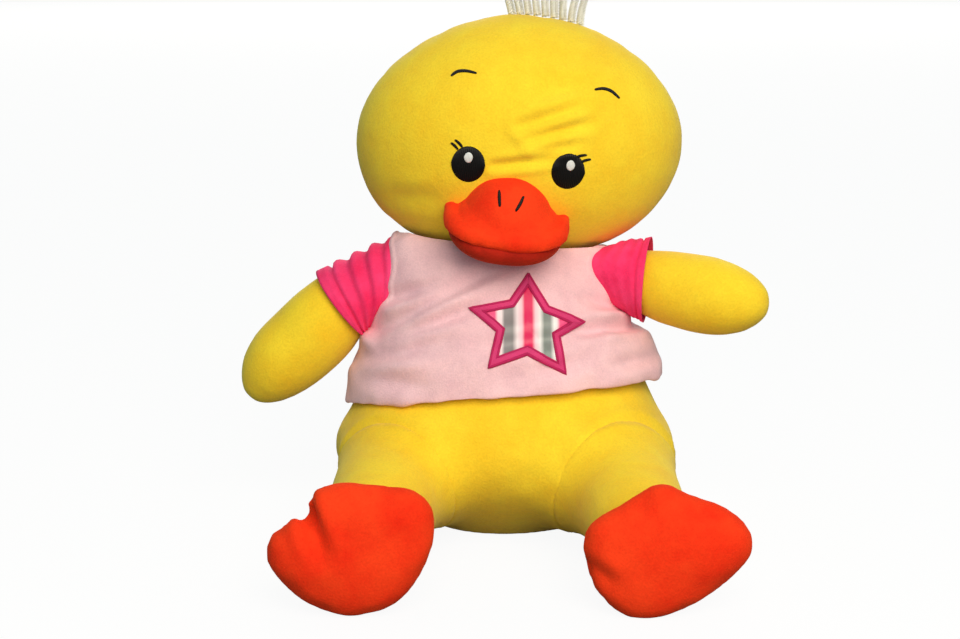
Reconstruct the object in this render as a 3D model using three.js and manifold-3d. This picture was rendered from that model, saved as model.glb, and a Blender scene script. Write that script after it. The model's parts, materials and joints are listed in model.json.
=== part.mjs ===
// A seated plush duck in a short-sleeved shirt: sewn skins over stuffing, a shirt with a star,
// an embroidered face, a padded bill, webbed feet and a yarn tuft.
// Millimetres and degrees, +Z up. The duck faces -Y and its left side is +X.
// The origin is on the floor, on the flat of the seat, at the foot of the torso's axis.

import * as THREE from "three";
import { mergeVertices } from "three/addons/utils/BufferGeometryUtils.js";
import Module from "manifold-3d";

const wasm = await Module();
wasm.setup();

// Cloth and clearances
const PLUSH = 2.2; // a plush skin with its pile
const JERSEY = 2; // the shirt's cloth
const THREAD = 1.2; // height of an embroidered patch
const SEAM = 0.3; // between two panels or pieces that are sewn together
const FILL_GAP = 0.35; // between a skin and its stuffing
const STUFFING_EASE = 4; // between a limb's joint and the torso's stuffing
const SHIRT_EASE = 0.6; // between the body and the shirt
const JOINT_GAP = 1.5; // between a limb and what it moves on
const ROOT_EASE = 0.45; // round the ball at a limb's joint, within its socket
const HEAD_EASE = 2; // between the head and the dish that it turns in

// Torso, measured along its own leaning axis
const TORSO_LEAN = 10; // backwards
const TORSO_HEIGHT = 228;
const TORSO_DEPTH = 204;
const HIP_WIDTH = 262;
const HIP_LEVEL = 60;
const SEAT_PRESS = 9; // how far the round bottom is pressed flat on the floor
const CHEST_WIDTH = 207;
const CHEST_LEVEL = 155;
const SHOULDER_WIDTH = 160;
const SHOULDER_LEVEL = 201;
const COLLAR_WIDTH = 92;
const COLLAR_LEVEL = 222;
const BODY_SEAM_BACK = 20; // the side seams lie behind the middle

// Shirt
const HEM_LEVEL = 109;
const HEM_ROLL = 4.8; // its left side is the higher one
const HEM_PITCH = 3; // its front is higher than square to the torso
const NECKLINE_WIDTH = 140;
const NECKLINE_DEPTH = 112;
const NECKBAND = 7;
const STAR_RADIUS = 41;
const STAR_INNER_RADIUS = 22;
const STAR_BORDER = 4.6;
const STAR_LEVEL = 155;
const STAR_SIDE = 15;
const STAR_TURN = 4;
const STAR_SATIN = 0.8;
const STAR_STITCH = 1.6;

// Head, round about its own side-to-side axis
const HEAD_WIDTH = 256;
const HEAD_ROUND = 195; // height and depth
const HEAD_ROLL = 5.5; // towards its right shoulder
const HEAD_SEAM_BACK = 14;
const NECK_SINK = 22; // how far the head settles into the top of the torso
const NECK_BACK = 8;
const NECK_SIDE = 20; // the neck lies this far to the left of the middle
const NECK_WIDTH = 76;
const NECK_THREAD = 4;
const NECK_TURN = 20;

// Face, from the middle of the head
const FACE_TURN = 12; // it is sewn on turned towards the left shoulder
const EYE_WIDTH = 24.4;
const EYE_HEIGHT = 25.6;
const EYE_SPACING = 73;
const EYE_DROP = 12.5;
const HIGHLIGHT_WIDTH = 6;
const HIGHLIGHT_HEIGHT = 8;
const HIGHLIGHT_RISE = 5;
const LASH_LENGTH = 7.5;
const LASH_WIDTH = 1.9;
const LASH_ANGLES = [28, 52]; // lower and upper lash, from level
const BROW_SPACING = 108;
const BROW_RISE = 49;
const BROW_SPAN = 18;
const BROW_ARCH = 5;
const BROW_WIDTH = 2.6;

// Bill, from the middle of its mouth line on the face
const MOUTH_DROP = 60;
const MOUTH_SIDE = -4;
const BILL_PITCH = 13;
const BILL_WIDTH = 92;
const BILL_REACH = 44;
const BILL_EDGE = 13; // height of the flat of the upper bill
const BILL_CURL = 15; // how far the corners of the mouth turn up
const BRIDGE_WIDTH = 62;
const BRIDGE_HEIGHT = 41;
const BRIDGE_REACH = 42;
const LOWER_BILL_WIDTH = 82;
const LOWER_BILL_REACH = 40;
const LOWER_BILL_DEPTH = 11;
const NOSTRIL_LENGTH = 10.5;
const NOSTRIL_WIDTH = 2.4;
const NOSTRIL_SPACING = 15;
const NOSTRIL_RISE = 25;
const NOSTRIL_TILT = 17;

// Yarn tuft on the crown
const TUFT_SIDE = 30;
const TUFT_BACK = 10;
const TUFT_SPAN = 54;
const TUFT_DEPTH = 20;
const TUFT_HEIGHT = 36;
const TUFT_FAN = 16;
const YARN = 3.4;
const YARN_COUNT = 6; // strands in each of the two rows
const YARN_BASE = 4;

// Arms, from the shoulder
const ARM_LENGTH = 137;
const ARM_ROOT = 54;
const ARM_WIDTH = 65;
const ARM_LEVEL = 189;
const ARM_FORWARD = 12; // the shoulders lie in front of the torso's axis
const ARM_SPREAD = 168;
const ARM_SHIFT = -5;
const SLEEVE_START = 4;
const SLEEVE_LENGTH = 38;
const CUFF = 6;
const CUFF_TURN = 0.8; // extra thickness of the turned cuff
const ARM_POSES = {
  left: { dip: 3, forward: 31, lower: 32, raise: 8 },
  right: { dip: 38, forward: 2, lower: 2, raise: 35 },
};

// Legs, from the hip
const LEG_ROOT = 76;
const LEG_END = 66;
const HIP_HEIGHT = 50;
const HIP_SPREAD = 168;
const HIP_SINK = 12; // the hip lies this far inside the front of the torso
const LEG_REACH = 100;
const LEG_SPLAY = 12;
const ANKLE_HEIGHT = 45;
const LEG_RAISE_DEGREES = 30;
const LEG_LOWER_DEGREES = 10;

// Feet, seen from the sole, clockwise round the outline, in shares of the foot's half width and half height
const FOOT_WIDTH = 116;
const FOOT_HEIGHT = 94;
const FOOT_THICKNESS = 40;
const FOOT_FORWARD = 34; // from the ankle to the middle of the foot
const FOOT_OUTWARD = 12; // from the ankle to the middle of the foot
const FOOT_TIP_BACK = 8;
const FOOT_PRESS = 1;
const FOOT_SHAPES = {
  right: [
    [-0.98, -0.09], [-0.93, 0.19], [-0.62, 0.34], [-0.50, 0.47], [-0.47, 0.70], [-0.16, 0.94],
    [0.36, 0.91], [0.79, 0.83], [1.02, 0.49], [0.93, -0.21], [0.59, -0.81], [0.03, -1.02],
    [-0.50, -0.83], [-0.90, -0.38],
  ],
  left: [
    [-0.98, 0.09], [-0.91, 0.40], [-0.50, 0.72], [-0.07, 1.00], [0.26, 0.83], [0.79, 0.55],
    [1.02, 0.11], [0.79, -0.40], [0.16, -0.91], [-0.50, -0.98], [-0.90, -0.43],
  ],
};

// Facets
const TORSO_SIDES = 22;
const TORSO_RINGS = 12;
const HEAD_SIDES = 22;
const HEAD_RINGS = 12;
const DISH_SIDES = 24; // of the dish that the head turns in
const DISH_RINGS = 12;
const SOCKET_SIDES = 20; // of the round openings for the limbs
const ROOT_SIDES = 32; // of the balls in them
const LIMB_SIDES = 12;
const LIMB_RINGS = 11;
const FOOT_SIDES = 28;
const FOOT_RINGS = 6;
const BILL_SIDES = 16;
const BILL_RINGS = 8;
const SWEEP_STEP = 20;
const CURVE_SEGMENTS = 5; // of each round stretch of an embroidered shape
const FAR = 600; // larger than the duck

const COLOURS = {
  yellow: 0xf7d42c,
  orange: 0xf23c17,
  darkOrange: 0xc2301a,
  palePink: 0xeebfc2,
  hotPink: 0xec3d72,
  satin: 0xd9c3cc,
  black: 0x141414,
  white: 0xf4f2ee,
  filling: 0xf0efe8,
};

// Solids and meshes

function solidOf(geometry, matrix = new THREE.Matrix4()) {
  const bare = geometry.clone().applyMatrix4(matrix);
  bare.deleteAttribute("normal");
  bare.deleteAttribute("uv");
  const merged = mergeVertices(bare, 1e-3);
  const triangles = [];
  for (let i = 0; i < merged.index.count; i += 3) {
    const corners = [0, 1, 2].map((k) => merged.index.getX(i + k));
    if (new Set(corners).size === 3) triangles.push(...corners);
  }
  return new wasm.Manifold(
    new wasm.Mesh({
      numProp: 3,
      vertProperties: new Float32Array(merged.attributes.position.array),
      triVerts: new Uint32Array(triangles),
    }),
  );
}

function geometryOf(solid) {
  const mesh = solid.getMesh();
  const geometry = new THREE.BufferGeometry();
  geometry.setAttribute("position", new THREE.BufferAttribute(new Float32Array(mesh.vertProperties), 3));
  geometry.setIndex(new THREE.BufferAttribute(new Uint32Array(mesh.triVerts), 1));
  return geometry;
}

function addPiece(group, name, solid, colour, roughness = 0.95) {
  const geometry = solid instanceof THREE.BufferGeometry ? solid : geometryOf(solid);
  geometry.computeVertexNormals();
  const material = new THREE.MeshStandardMaterial({ color: colour, roughness, metalness: 0 });
  const mesh = new THREE.Mesh(geometry, material);
  mesh.name = name;
  group.add(mesh);
}

// The matrix that takes coordinates of one group into another's.
function between(from, to) {
  from.updateWorldMatrix(true, false);
  to.updateWorldMatrix(true, false);
  return to.matrixWorld.clone().invert().multiply(from.matrixWorld);
}

// A block that covers everything on the far side of a plane through `point`.
function halfSpace(point, outward) {
  const block = new THREE.BoxGeometry(2 * FAR, 2 * FAR, 2 * FAR).translate(0, 0, FAR);
  const turn = new THREE.Quaternion().setFromUnitVectors(new THREE.Vector3(0, 0, 1), outward.clone().normalize());
  return block.applyQuaternion(turn).translate(point.x, point.y, point.z);
}

function ellipsoid(halfX, halfY, halfZ, sides, rings) {
  return new THREE.SphereGeometry(1, sides, rings).rotateZ(Math.PI / 2).scale(halfX, halfY, halfZ);
}

// A turned form whose outline keeps the same distance from another.
function offsetOutline(points, distance) {
  const last = points.length - 1;
  return points.map((point, i) => {
    if (i === 0) return new THREE.Vector2(0, point.y - distance);
    if (i === last) return new THREE.Vector2(0, point.y + distance);
    const along = points[i + 1].clone().sub(points[i - 1]).normalize();
    return new THREE.Vector2(point.x + along.y * distance, point.y - along.x * distance);
  });
}

// Parallel prism of a flat shape, seen from the front, that reaches through everything along Y.
function prism(shape) {
  return new THREE.ExtrudeGeometry(shape, { depth: FAR, bevelEnabled: false, curveSegments: CURVE_SEGMENTS }).rotateX(Math.PI / 2);
}

function ovalShape(x, z, width, height) {
  return new THREE.Shape().absellipse(x, z, width / 2, height / 2, 0, 2 * Math.PI);
}

// A bar with round ends between two points.
function barShape(from, to, width) {
  const turn = to.clone().sub(from).angle();
  const shape = new THREE.Shape();
  shape.absarc(from.x, from.y, width / 2, turn + Math.PI / 2, turn + 1.5 * Math.PI);
  shape.absarc(to.x, to.y, width / 2, turn - Math.PI / 2, turn + Math.PI / 2);
  return shape;
}

// Groups: the torso carries the head by the neck, the arms and the legs, and each leg its foot

const duck = new THREE.Group();
const torso = new THREE.Group();
torso.rotation.x = -THREE.MathUtils.degToRad(TORSO_LEAN);
duck.add(torso);

// Torso

const torsoCurve = new THREE.SplineCurve([
  new THREE.Vector2(0, -SEAT_PRESS),
  ...[30, 60].map((degrees) => {
    const angle = THREE.MathUtils.degToRad(degrees);
    return new THREE.Vector2(
      (HIP_WIDTH / 2) * Math.sin(angle),
      HIP_LEVEL - (HIP_LEVEL + SEAT_PRESS) * Math.cos(angle),
    );
  }),
  new THREE.Vector2(HIP_WIDTH / 2, HIP_LEVEL),
  new THREE.Vector2(CHEST_WIDTH / 2, CHEST_LEVEL),
  new THREE.Vector2(SHOULDER_WIDTH / 2, SHOULDER_LEVEL),
  new THREE.Vector2(COLLAR_WIDTH / 2, COLLAR_LEVEL),
  new THREE.Vector2(0, TORSO_HEIGHT),
]);
const torsoOutline = torsoCurve.getSpacedPoints(TORSO_RINGS);

function torsoGeometry(offset) {
  return new THREE.LatheGeometry(offsetOutline(torsoOutline, offset), TORSO_SIDES)
    .rotateX(Math.PI / 2)
    .scale(1, TORSO_DEPTH / HIP_WIDTH, 1);
}

// The torso in its own frame, grown by `offset` and cut flat at a height above the floor.
function torsoForm(offset, floor) {
  const below = halfSpace(new THREE.Vector3(0, 0, floor), new THREE.Vector3(0, 0, -1));
  return solidOf(torsoGeometry(offset)).subtract(solidOf(below, between(duck, torso)));
}

const shirtOutside = SHIRT_EASE + JERSEY;

// Everything below the hem, in the torso's frame, lowered by a clearance.
function belowHem(clearance) {
  const outward = new THREE.Vector3(0, 0, -1)
    .applyAxisAngle(new THREE.Vector3(0, 1, 0), -THREE.MathUtils.degToRad(HEM_ROLL))
    .applyAxisAngle(new THREE.Vector3(1, 0, 0), -THREE.MathUtils.degToRad(HEM_PITCH));
  return solidOf(halfSpace(new THREE.Vector3(0, 0, HEM_LEVEL - clearance), outward));
}

const necklineLevel = COLLAR_LEVEL + shirtOutside - (COLLAR_LEVEL - SHOULDER_LEVEL) / 2;

function neckbandGeometry(thickness) {
  const ring = new THREE.TorusGeometry(NECKLINE_WIDTH / 2, thickness / 2, 6, 24);
  return ring.scale(1, NECKLINE_DEPTH / NECKLINE_WIDTH, 1).translate(0, 0, necklineLevel);
}

// What the limbs have to stay clear of: the torso with the shirt on it.
function dressedTorso(clearance) {
  const shirt = solidOf(torsoGeometry(shirtOutside + clearance)).subtract(belowHem(clearance));
  const neckband = solidOf(neckbandGeometry(NECKBAND + 2 * clearance));
  return torsoForm(clearance, -clearance).add(shirt).add(neckband);
}

// Neck and head

const neck = new THREE.Group();
neck.position.set(NECK_SIDE, NECK_BACK, TORSO_HEIGHT - NECK_SINK);
neck.quaternion
  .copy(torso.quaternion)
  .invert()
  .multiply(new THREE.Quaternion().setFromAxisAngle(new THREE.Vector3(0, 1, 0), -THREE.MathUtils.degToRad(HEAD_ROLL)));
torso.add(neck);

const head = new THREE.Group();
head.position.z = HEAD_ROUND / 2;
neck.add(head);

function headGeometry(offset, sides = HEAD_SIDES, rings = HEAD_RINGS) {
  const round = HEAD_ROUND / 2 + offset;
  return ellipsoid(HEAD_WIDTH / 2 + offset, round, round, sides, rings);
}

const headForm = (offset) => solidOf(headGeometry(offset));

// The room that the head takes as it turns and nods, and the round pocket of the neck thread below it.
function headRoom() {
  const toTorso = between(head, torso);
  const steps = Math.ceil((2 * NECK_TURN) / SWEEP_STEP);
  let room = solidOf(neckPocket(), between(neck, torso));
  for (let i = 0; i <= steps; i += 1) {
    const angle = THREE.MathUtils.degToRad(NECK_TURN * ((2 * i) / steps - 1));
    room = room.add(solidOf(headGeometry(HEAD_EASE, DISH_SIDES, DISH_RINGS).rotateZ(angle), toTorso));
  }
  return room;
}

function neckPocket() {
  const radius = (NECK_WIDTH + NECK_THREAD) / 2 + JOINT_GAP;
  return new THREE.CylinderGeometry(radius, radius, HEAD_ROUND / 2, DISH_SIDES)
    .rotateX(Math.PI / 2)
    .translate(0, 0, HEAD_ROUND / 4 - SEAM);
}

const roomForHead = headRoom();

// Arms and legs: each is a turned form with a round end at its joint

// A limb lies along its own +Y. An arm swells from the shoulder to its round end.
function armOutline() {
  const root = ARM_ROOT / 2;
  const belly = ARM_WIDTH / 2;
  const curve = new THREE.Path();
  curve.absarc(0, 0, root, -Math.PI / 2, 0);
  curve.bezierCurveTo(root, root, belly, root, belly, ARM_LENGTH - belly);
  curve.absarc(0, ARM_LENGTH - belly, belly, 0, Math.PI / 2);
  return curve.getSpacedPoints(LIMB_RINGS);
}

function legOutline(length) {
  const curve = new THREE.Path();
  curve.absarc(0, 0, LEG_ROOT / 2, -Math.PI / 2, 0);
  curve.lineTo(LEG_END / 2, length);
  curve.absarc(0, length, LEG_END / 2, 0, Math.PI / 2);
  return curve.getSpacedPoints(LIMB_RINGS);
}

const limbForm = (outline, offset) => solidOf(new THREE.LatheGeometry(offsetOutline(outline, offset), LIMB_SIDES));

const ball = (radius, sides = SOCKET_SIDES) => new THREE.SphereGeometry(radius, sides, sides / 2);

// What a limb has to be cut by: a solid in the limb's frame, at every place that it takes as seen from the
// limb while the limb swings about `axis`.
function sweptPast(solid, axis, from, to) {
  const geometry = geometryOf(solid);
  const steps = Math.ceil((to - from) / SWEEP_STEP);
  let swept = null;
  for (let i = 0; i <= steps; i += 1) {
    const angle = -THREE.MathUtils.degToRad(from + ((to - from) * i) / steps);
    const turned = solidOf(geometry, new THREE.Matrix4().makeRotationAxis(axis, angle));
    swept = swept ? swept.add(turned) : turned;
  }
  return swept;
}

const Z_AXIS = new THREE.Vector3(0, 0, 1);
const X_AXIS = new THREE.Vector3(1, 0, 0);

// An arm's group lies at its shoulder, with +Y along the arm and +Z along its hinge, which is level.
function placeArm(side, pose) {
  const sign = side === "left" ? 1 : -1;
  const arm = new THREE.Group();
  arm.position.set(ARM_SHIFT + (sign * ARM_SPREAD) / 2, -ARM_FORWARD, ARM_LEVEL);
  const dip = THREE.MathUtils.degToRad(pose.dip);
  const swing = THREE.MathUtils.degToRad(pose.forward);
  const along = new THREE.Vector3(
    sign * Math.cos(dip) * Math.cos(swing),
    -Math.cos(dip) * Math.sin(swing),
    -Math.sin(dip),
  );
  const hinge = new THREE.Vector3(0, 0, 1).cross(along).normalize().multiplyScalar(-1);
  const across = new THREE.Vector3().crossVectors(along, hinge);
  const basis = new THREE.Matrix4().makeBasis(across, along, hinge);
  arm.quaternion.copy(torso.quaternion).invert().multiply(new THREE.Quaternion().setFromRotationMatrix(basis));
  torso.add(arm);
  return arm;
}

const arms = { left: placeArm("left", ARM_POSES.left), right: placeArm("right", ARM_POSES.right) };

// A leg's group lies at its hip, on the front of the torso, with +Y along the leg and level +X.
function placeLeg(side) {
  const sign = side === "left" ? 1 : -1;
  const depth = TORSO_DEPTH / 2 - HIP_SINK;
  const share = HIP_SPREAD / HIP_WIDTH;
  const hip = new THREE.Vector3((sign * HIP_SPREAD) / 2, -depth * Math.sqrt(1 - share * share), HIP_HEIGHT);
  hip.y += HIP_HEIGHT * Math.tan(THREE.MathUtils.degToRad(TORSO_LEAN));
  const ankle = new THREE.Vector3(hip.x + sign * LEG_SPLAY, hip.y - LEG_REACH, ANKLE_HEIGHT);
  const along = ankle.clone().sub(hip).normalize();
  const across = new THREE.Vector3().crossVectors(along, Z_AXIS).normalize();
  const basis = new THREE.Matrix4().makeBasis(across, along, new THREE.Vector3().crossVectors(across, along));
  const leg = new THREE.Group();
  leg.position.copy(hip);
  leg.quaternion.setFromRotationMatrix(basis);
  duck.add(leg);
  const foot = new THREE.Group();
  foot.position.set(0, ankle.distanceTo(hip), 0);
  foot.quaternion
    .copy(leg.quaternion)
    .invert()
    .multiply(new THREE.Quaternion().setFromAxisAngle(X_AXIS, -THREE.MathUtils.degToRad(FOOT_TIP_BACK)));
  leg.add(foot);
  return { leg, foot, length: ankle.distanceTo(hip) };
}

const legs = { left: placeLeg("left"), right: placeLeg("right") };

// Body: two panels over the stuffing, with round openings at the neck, the arms and the legs

// The round openings for the limbs, with `ease` round each joint.
function limbSockets(ease, sides) {
  let sockets = null;
  for (const side of ["left", "right"]) {
    const arm = solidOf(ball(ARM_ROOT / 2 + ease, sides), between(arms[side], torso));
    const leg = solidOf(ball(LEG_ROOT / 2 + ease, sides), between(legs[side].leg, torso));
    sockets = sockets ? sockets.add(arm).add(leg) : arm.add(leg);
  }
  return sockets;
}

const openings = limbSockets(JOINT_GAP, SOCKET_SIDES).add(roomForHead);
const bodySkin = torsoForm(0, 0).subtract(torsoForm(-PLUSH, PLUSH)).subtract(openings);
const behind = (y) => solidOf(halfSpace(new THREE.Vector3(0, y, 0), new THREE.Vector3(0, 1, 0)));
const before = (y) => solidOf(halfSpace(new THREE.Vector3(0, y, 0), new THREE.Vector3(0, -1, 0)));

addPiece(torso, "body_front", bodySkin.subtract(behind(BODY_SEAM_BACK - SEAM / 2)), COLOURS.yellow);
addPiece(torso, "body_back", bodySkin.subtract(before(BODY_SEAM_BACK + SEAM / 2)), COLOURS.yellow);
const aboveNeck = halfSpace(new THREE.Vector3(0, 0, -SEAM), new THREE.Vector3(0, 0, 1));
addPiece(
  torso,
  "body_stuffing",
  torsoForm(-PLUSH - FILL_GAP, PLUSH + FILL_GAP)
    .subtract(limbSockets(STUFFING_EASE, LIMB_SIDES))
    .subtract(solidOf(aboveNeck, between(neck, torso))),
  COLOURS.filling,
);

// Shirt: front and back panels, a neckband on the edge of the neckline and a star on the chest

const necklineHole = new THREE.CylinderGeometry(1, 1, FAR, 32)
  .rotateX(Math.PI / 2)
  .scale(NECKLINE_WIDTH / 2, NECKLINE_DEPTH / 2, 1)
  .translate(0, 0, FAR / 2 + CHEST_LEVEL);

const shirtShell = solidOf(torsoGeometry(shirtOutside))
  .subtract(solidOf(torsoGeometry(SHIRT_EASE)))
  .subtract(belowHem(0))
  .subtract(solidOf(necklineHole))
  .subtract(solidOf(neckbandGeometry(NECKBAND + 2 * SEAM)))
  .subtract(openings);

addPiece(torso, "shirt_front", shirtShell.subtract(behind(BODY_SEAM_BACK - SEAM / 2)), COLOURS.palePink);
addPiece(torso, "shirt_back", shirtShell.subtract(before(BODY_SEAM_BACK + SEAM / 2)), COLOURS.palePink);
addPiece(
  torso,
  "shirt_neckband",
  solidOf(neckbandGeometry(NECKBAND)).subtract(solidOf(torsoGeometry(SHIRT_EASE))).subtract(openings),
  COLOURS.hotPink,
);

function starShape(outer, inner) {
  const shape = new THREE.Shape();
  for (let i = 0; i < 10; i += 1) {
    const radius = i % 2 === 0 ? outer : inner;
    const angle = THREE.MathUtils.degToRad(STAR_TURN + 36 * i);
    const point = [STAR_SIDE + radius * Math.sin(angle), STAR_LEVEL + radius * Math.cos(angle)];
    if (i === 0) shape.moveTo(...point);
    else shape.lineTo(...point);
  }
  shape.closePath();
  return shape;
}

// The layer of cloth or thread that lies on the front of a form, within a flat shape.
const layer = (shape, outside, inside) => solidOf(prism(shape)).intersect(outside.subtract(inside));

const starFloor = shirtOutside + SEAM;
// The star drawn in by the width of its border, the same along every edge.
function starInset(border) {
  const tip = new THREE.Vector2(STAR_RADIUS, 0);
  const notch = new THREE.Vector2(STAR_INNER_RADIUS, 0).rotateAround(new THREE.Vector2(), Math.PI / 5);
  const edge = tip.cross(notch) / tip.distanceTo(notch); // from the middle to an edge
  const share = (edge - border) / edge;
  return starShape(STAR_RADIUS * share, STAR_INNER_RADIUS * share);
}

const starForm = (height) => solidOf(torsoGeometry(starFloor + height));
addPiece(
  torso,
  "star_patch",
  layer(starInset(STAR_BORDER + SEAM), starForm(STAR_SATIN), starForm(0)),
  COLOURS.satin,
  0.5,
);
addPiece(
  torso,
  "star_border",
  layer(starShape(STAR_RADIUS, STAR_INNER_RADIUS), starForm(STAR_STITCH), starForm(0)).subtract(
    solidOf(prism(starInset(STAR_BORDER))),
  ),
  COLOURS.hotPink,
  0.6,
);

// Neck thread: it gathers the seam between the torso and the head

addPiece(
  neck,
  "neck_thread",
  solidOf(new THREE.TorusGeometry(NECK_WIDTH / 2, NECK_THREAD / 2, 6, 20).translate(0, 0, NECK_THREAD / 2)),
  COLOURS.yellow,
);

// Head: two panels, open at the neck, over the stuffing

const neckHole = new THREE.CylinderGeometry(NECK_WIDTH / 2 - NECK_THREAD, NECK_WIDTH / 2 - NECK_THREAD, HEAD_ROUND, 24)
  .rotateX(Math.PI / 2)
  .translate(0, 0, -HEAD_ROUND / 2);
const headSkin = headForm(0).subtract(headForm(-PLUSH)).subtract(solidOf(neckHole));
addPiece(head, "head_front", headSkin.subtract(behind(HEAD_SEAM_BACK - SEAM / 2)), COLOURS.yellow);
addPiece(head, "head_back", headSkin.subtract(before(HEAD_SEAM_BACK + SEAM / 2)), COLOURS.yellow);
addPiece(head, "head_stuffing", headForm(-PLUSH - FILL_GAP), COLOURS.filling);

// Embroidered face

const face = new THREE.Group();
face.rotation.y = THREE.MathUtils.degToRad(FACE_TURN);
head.add(face);
const faceLow = SEAM;
const faceHigh = SEAM + THREAD;
const headAtFace = (offset) => solidOf(headGeometry(offset), between(head, face));
const stitched = (shape, low = faceLow, high = faceHigh) => layer(shape, headAtFace(high), headAtFace(low));

for (const [side, sign] of [["left", 1], ["right", -1]]) {
  const eyeX = (sign * EYE_SPACING) / 2;
  addPiece(face, `${side}_eye`, stitched(ovalShape(eyeX, -EYE_DROP, EYE_WIDTH, EYE_HEIGHT)), COLOURS.black, 0.5);
  addPiece(
    face,
    `${side}_eye_highlight`,
    stitched(
      ovalShape(eyeX, -EYE_DROP + HIGHLIGHT_RISE, HIGHLIGHT_WIDTH, HIGHLIGHT_HEIGHT),
      faceHigh + SEAM,
      faceHigh + SEAM + THREAD / 2,
    ),
    COLOURS.white,
    0.6,
  );
  LASH_ANGLES.forEach((degrees, i) => {
    const angle = THREE.MathUtils.degToRad(degrees);
    const outward = new THREE.Vector2(sign * Math.cos(angle), Math.sin(angle));
    const start = new THREE.Vector2(
      eyeX + outward.x * (EYE_WIDTH / 2 + LASH_WIDTH / 2 + SEAM),
      -EYE_DROP + outward.y * (EYE_HEIGHT / 2 + LASH_WIDTH / 2 + SEAM),
    );
    const end = start.clone().addScaledVector(outward, LASH_LENGTH - LASH_WIDTH);
    const name = `${side}_lash_${i === 0 ? "lower" : "upper"}`;
    addPiece(face, name, stitched(barShape(start, end, LASH_WIDTH)), COLOURS.black, 0.5);
  });
  const browX = (sign * BROW_SPACING) / 2;
  const brow = new THREE.Shape();
  brow.moveTo(browX - BROW_SPAN / 2, BROW_RISE);
  brow.quadraticCurveTo(browX, BROW_RISE + 2 * BROW_ARCH, browX + BROW_SPAN / 2, BROW_RISE);
  brow.lineTo(browX + BROW_SPAN / 2, BROW_RISE - BROW_WIDTH);
  brow.quadraticCurveTo(browX, BROW_RISE + 2 * BROW_ARCH - BROW_WIDTH, browX - BROW_SPAN / 2, BROW_RISE - BROW_WIDTH);
  addPiece(face, `${side}_brow`, stitched(brow), COLOURS.black, 0.5);
}

// Bill: every form in its frame is curled up alike towards the corners of the mouth

const bill = new THREE.Group();
const mouth = new THREE.Vector3(MOUTH_SIDE, 0, -MOUTH_DROP).applyQuaternion(face.quaternion);
const mouthShare = (2 * mouth.x) / HEAD_WIDTH;
const mouthBack = Math.sqrt((HEAD_ROUND / 2) ** 2 * (1 - mouthShare ** 2) - mouth.z ** 2);
bill.position.set(MOUTH_SIDE, -mouthBack, -MOUTH_DROP);
bill.rotation.x = THREE.MathUtils.degToRad(BILL_PITCH);
face.add(bill);

function curled(geometry) {
  const places = geometry.attributes.position;
  for (let i = 0; i < places.count; i += 1) {
    const share = places.getX(i) / (BILL_WIDTH / 2);
    places.setZ(i, places.getZ(i) + BILL_CURL * share * share);
  }
  return solidOf(geometry);
}

const billPad = (width, reach, height) => curled(ellipsoid(width / 2, reach, height, BILL_SIDES, BILL_RINGS));

function upperBillForm(offset) {
  const flat = billPad(BILL_WIDTH + 2 * offset, BILL_REACH + offset, BILL_EDGE + offset);
  return flat.add(billPad(BRIDGE_WIDTH + 2 * offset, BRIDGE_REACH + offset, BRIDGE_HEIGHT + offset));
}

// Everything above (direction 1) or below (direction -1) the line of the mouth, moved up by `rise`.
function pastMouth(direction, rise) {
  const block = new THREE.BoxGeometry(2 * BILL_WIDTH, 2 * BILL_WIDTH, BILL_WIDTH, 2 * BILL_SIDES, 1, 1);
  return curled(block.translate(0, 0, rise + (direction * BILL_WIDTH) / 2));
}

const headAtBill = solidOf(headGeometry(SEAM), between(head, bill));
const billSkin = upperBillForm(0).subtract(pastMouth(-1, 0));
const billHollow = upperBillForm(-PLUSH).subtract(pastMouth(-1, PLUSH));
const billFilling = upperBillForm(-PLUSH - FILL_GAP).subtract(pastMouth(-1, PLUSH + FILL_GAP));
const lowerBill = billPad(LOWER_BILL_WIDTH, LOWER_BILL_REACH, LOWER_BILL_DEPTH + SEAM).subtract(pastMouth(1, -SEAM));

addPiece(bill, "bill_upper", billSkin.subtract(billHollow).subtract(headAtBill), COLOURS.orange);
addPiece(bill, "bill_padding", billFilling.subtract(headAtBill), COLOURS.filling);
addPiece(bill, "bill_lower", lowerBill.subtract(headAtBill), COLOURS.darkOrange);
for (const [side, sign] of [["left", 1], ["right", -1]]) {
  const tilt = sign * THREE.MathUtils.degToRad(NOSTRIL_TILT);
  const half = new THREE.Vector2(Math.sin(tilt), Math.cos(tilt)).multiplyScalar((NOSTRIL_LENGTH - NOSTRIL_WIDTH) / 2);
  const middle = new THREE.Vector2((sign * NOSTRIL_SPACING) / 2, NOSTRIL_RISE);
  const bar = barShape(middle.clone().sub(half), middle.clone().add(half), NOSTRIL_WIDTH);
  addPiece(
    bill,
    `${side}_nostril`,
    layer(bar, upperBillForm(faceHigh), upperBillForm(faceLow)),
    COLOURS.black,
    0.5,
  );
}

// Yarn tuft: two rows of strands on a small sewn base

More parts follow.
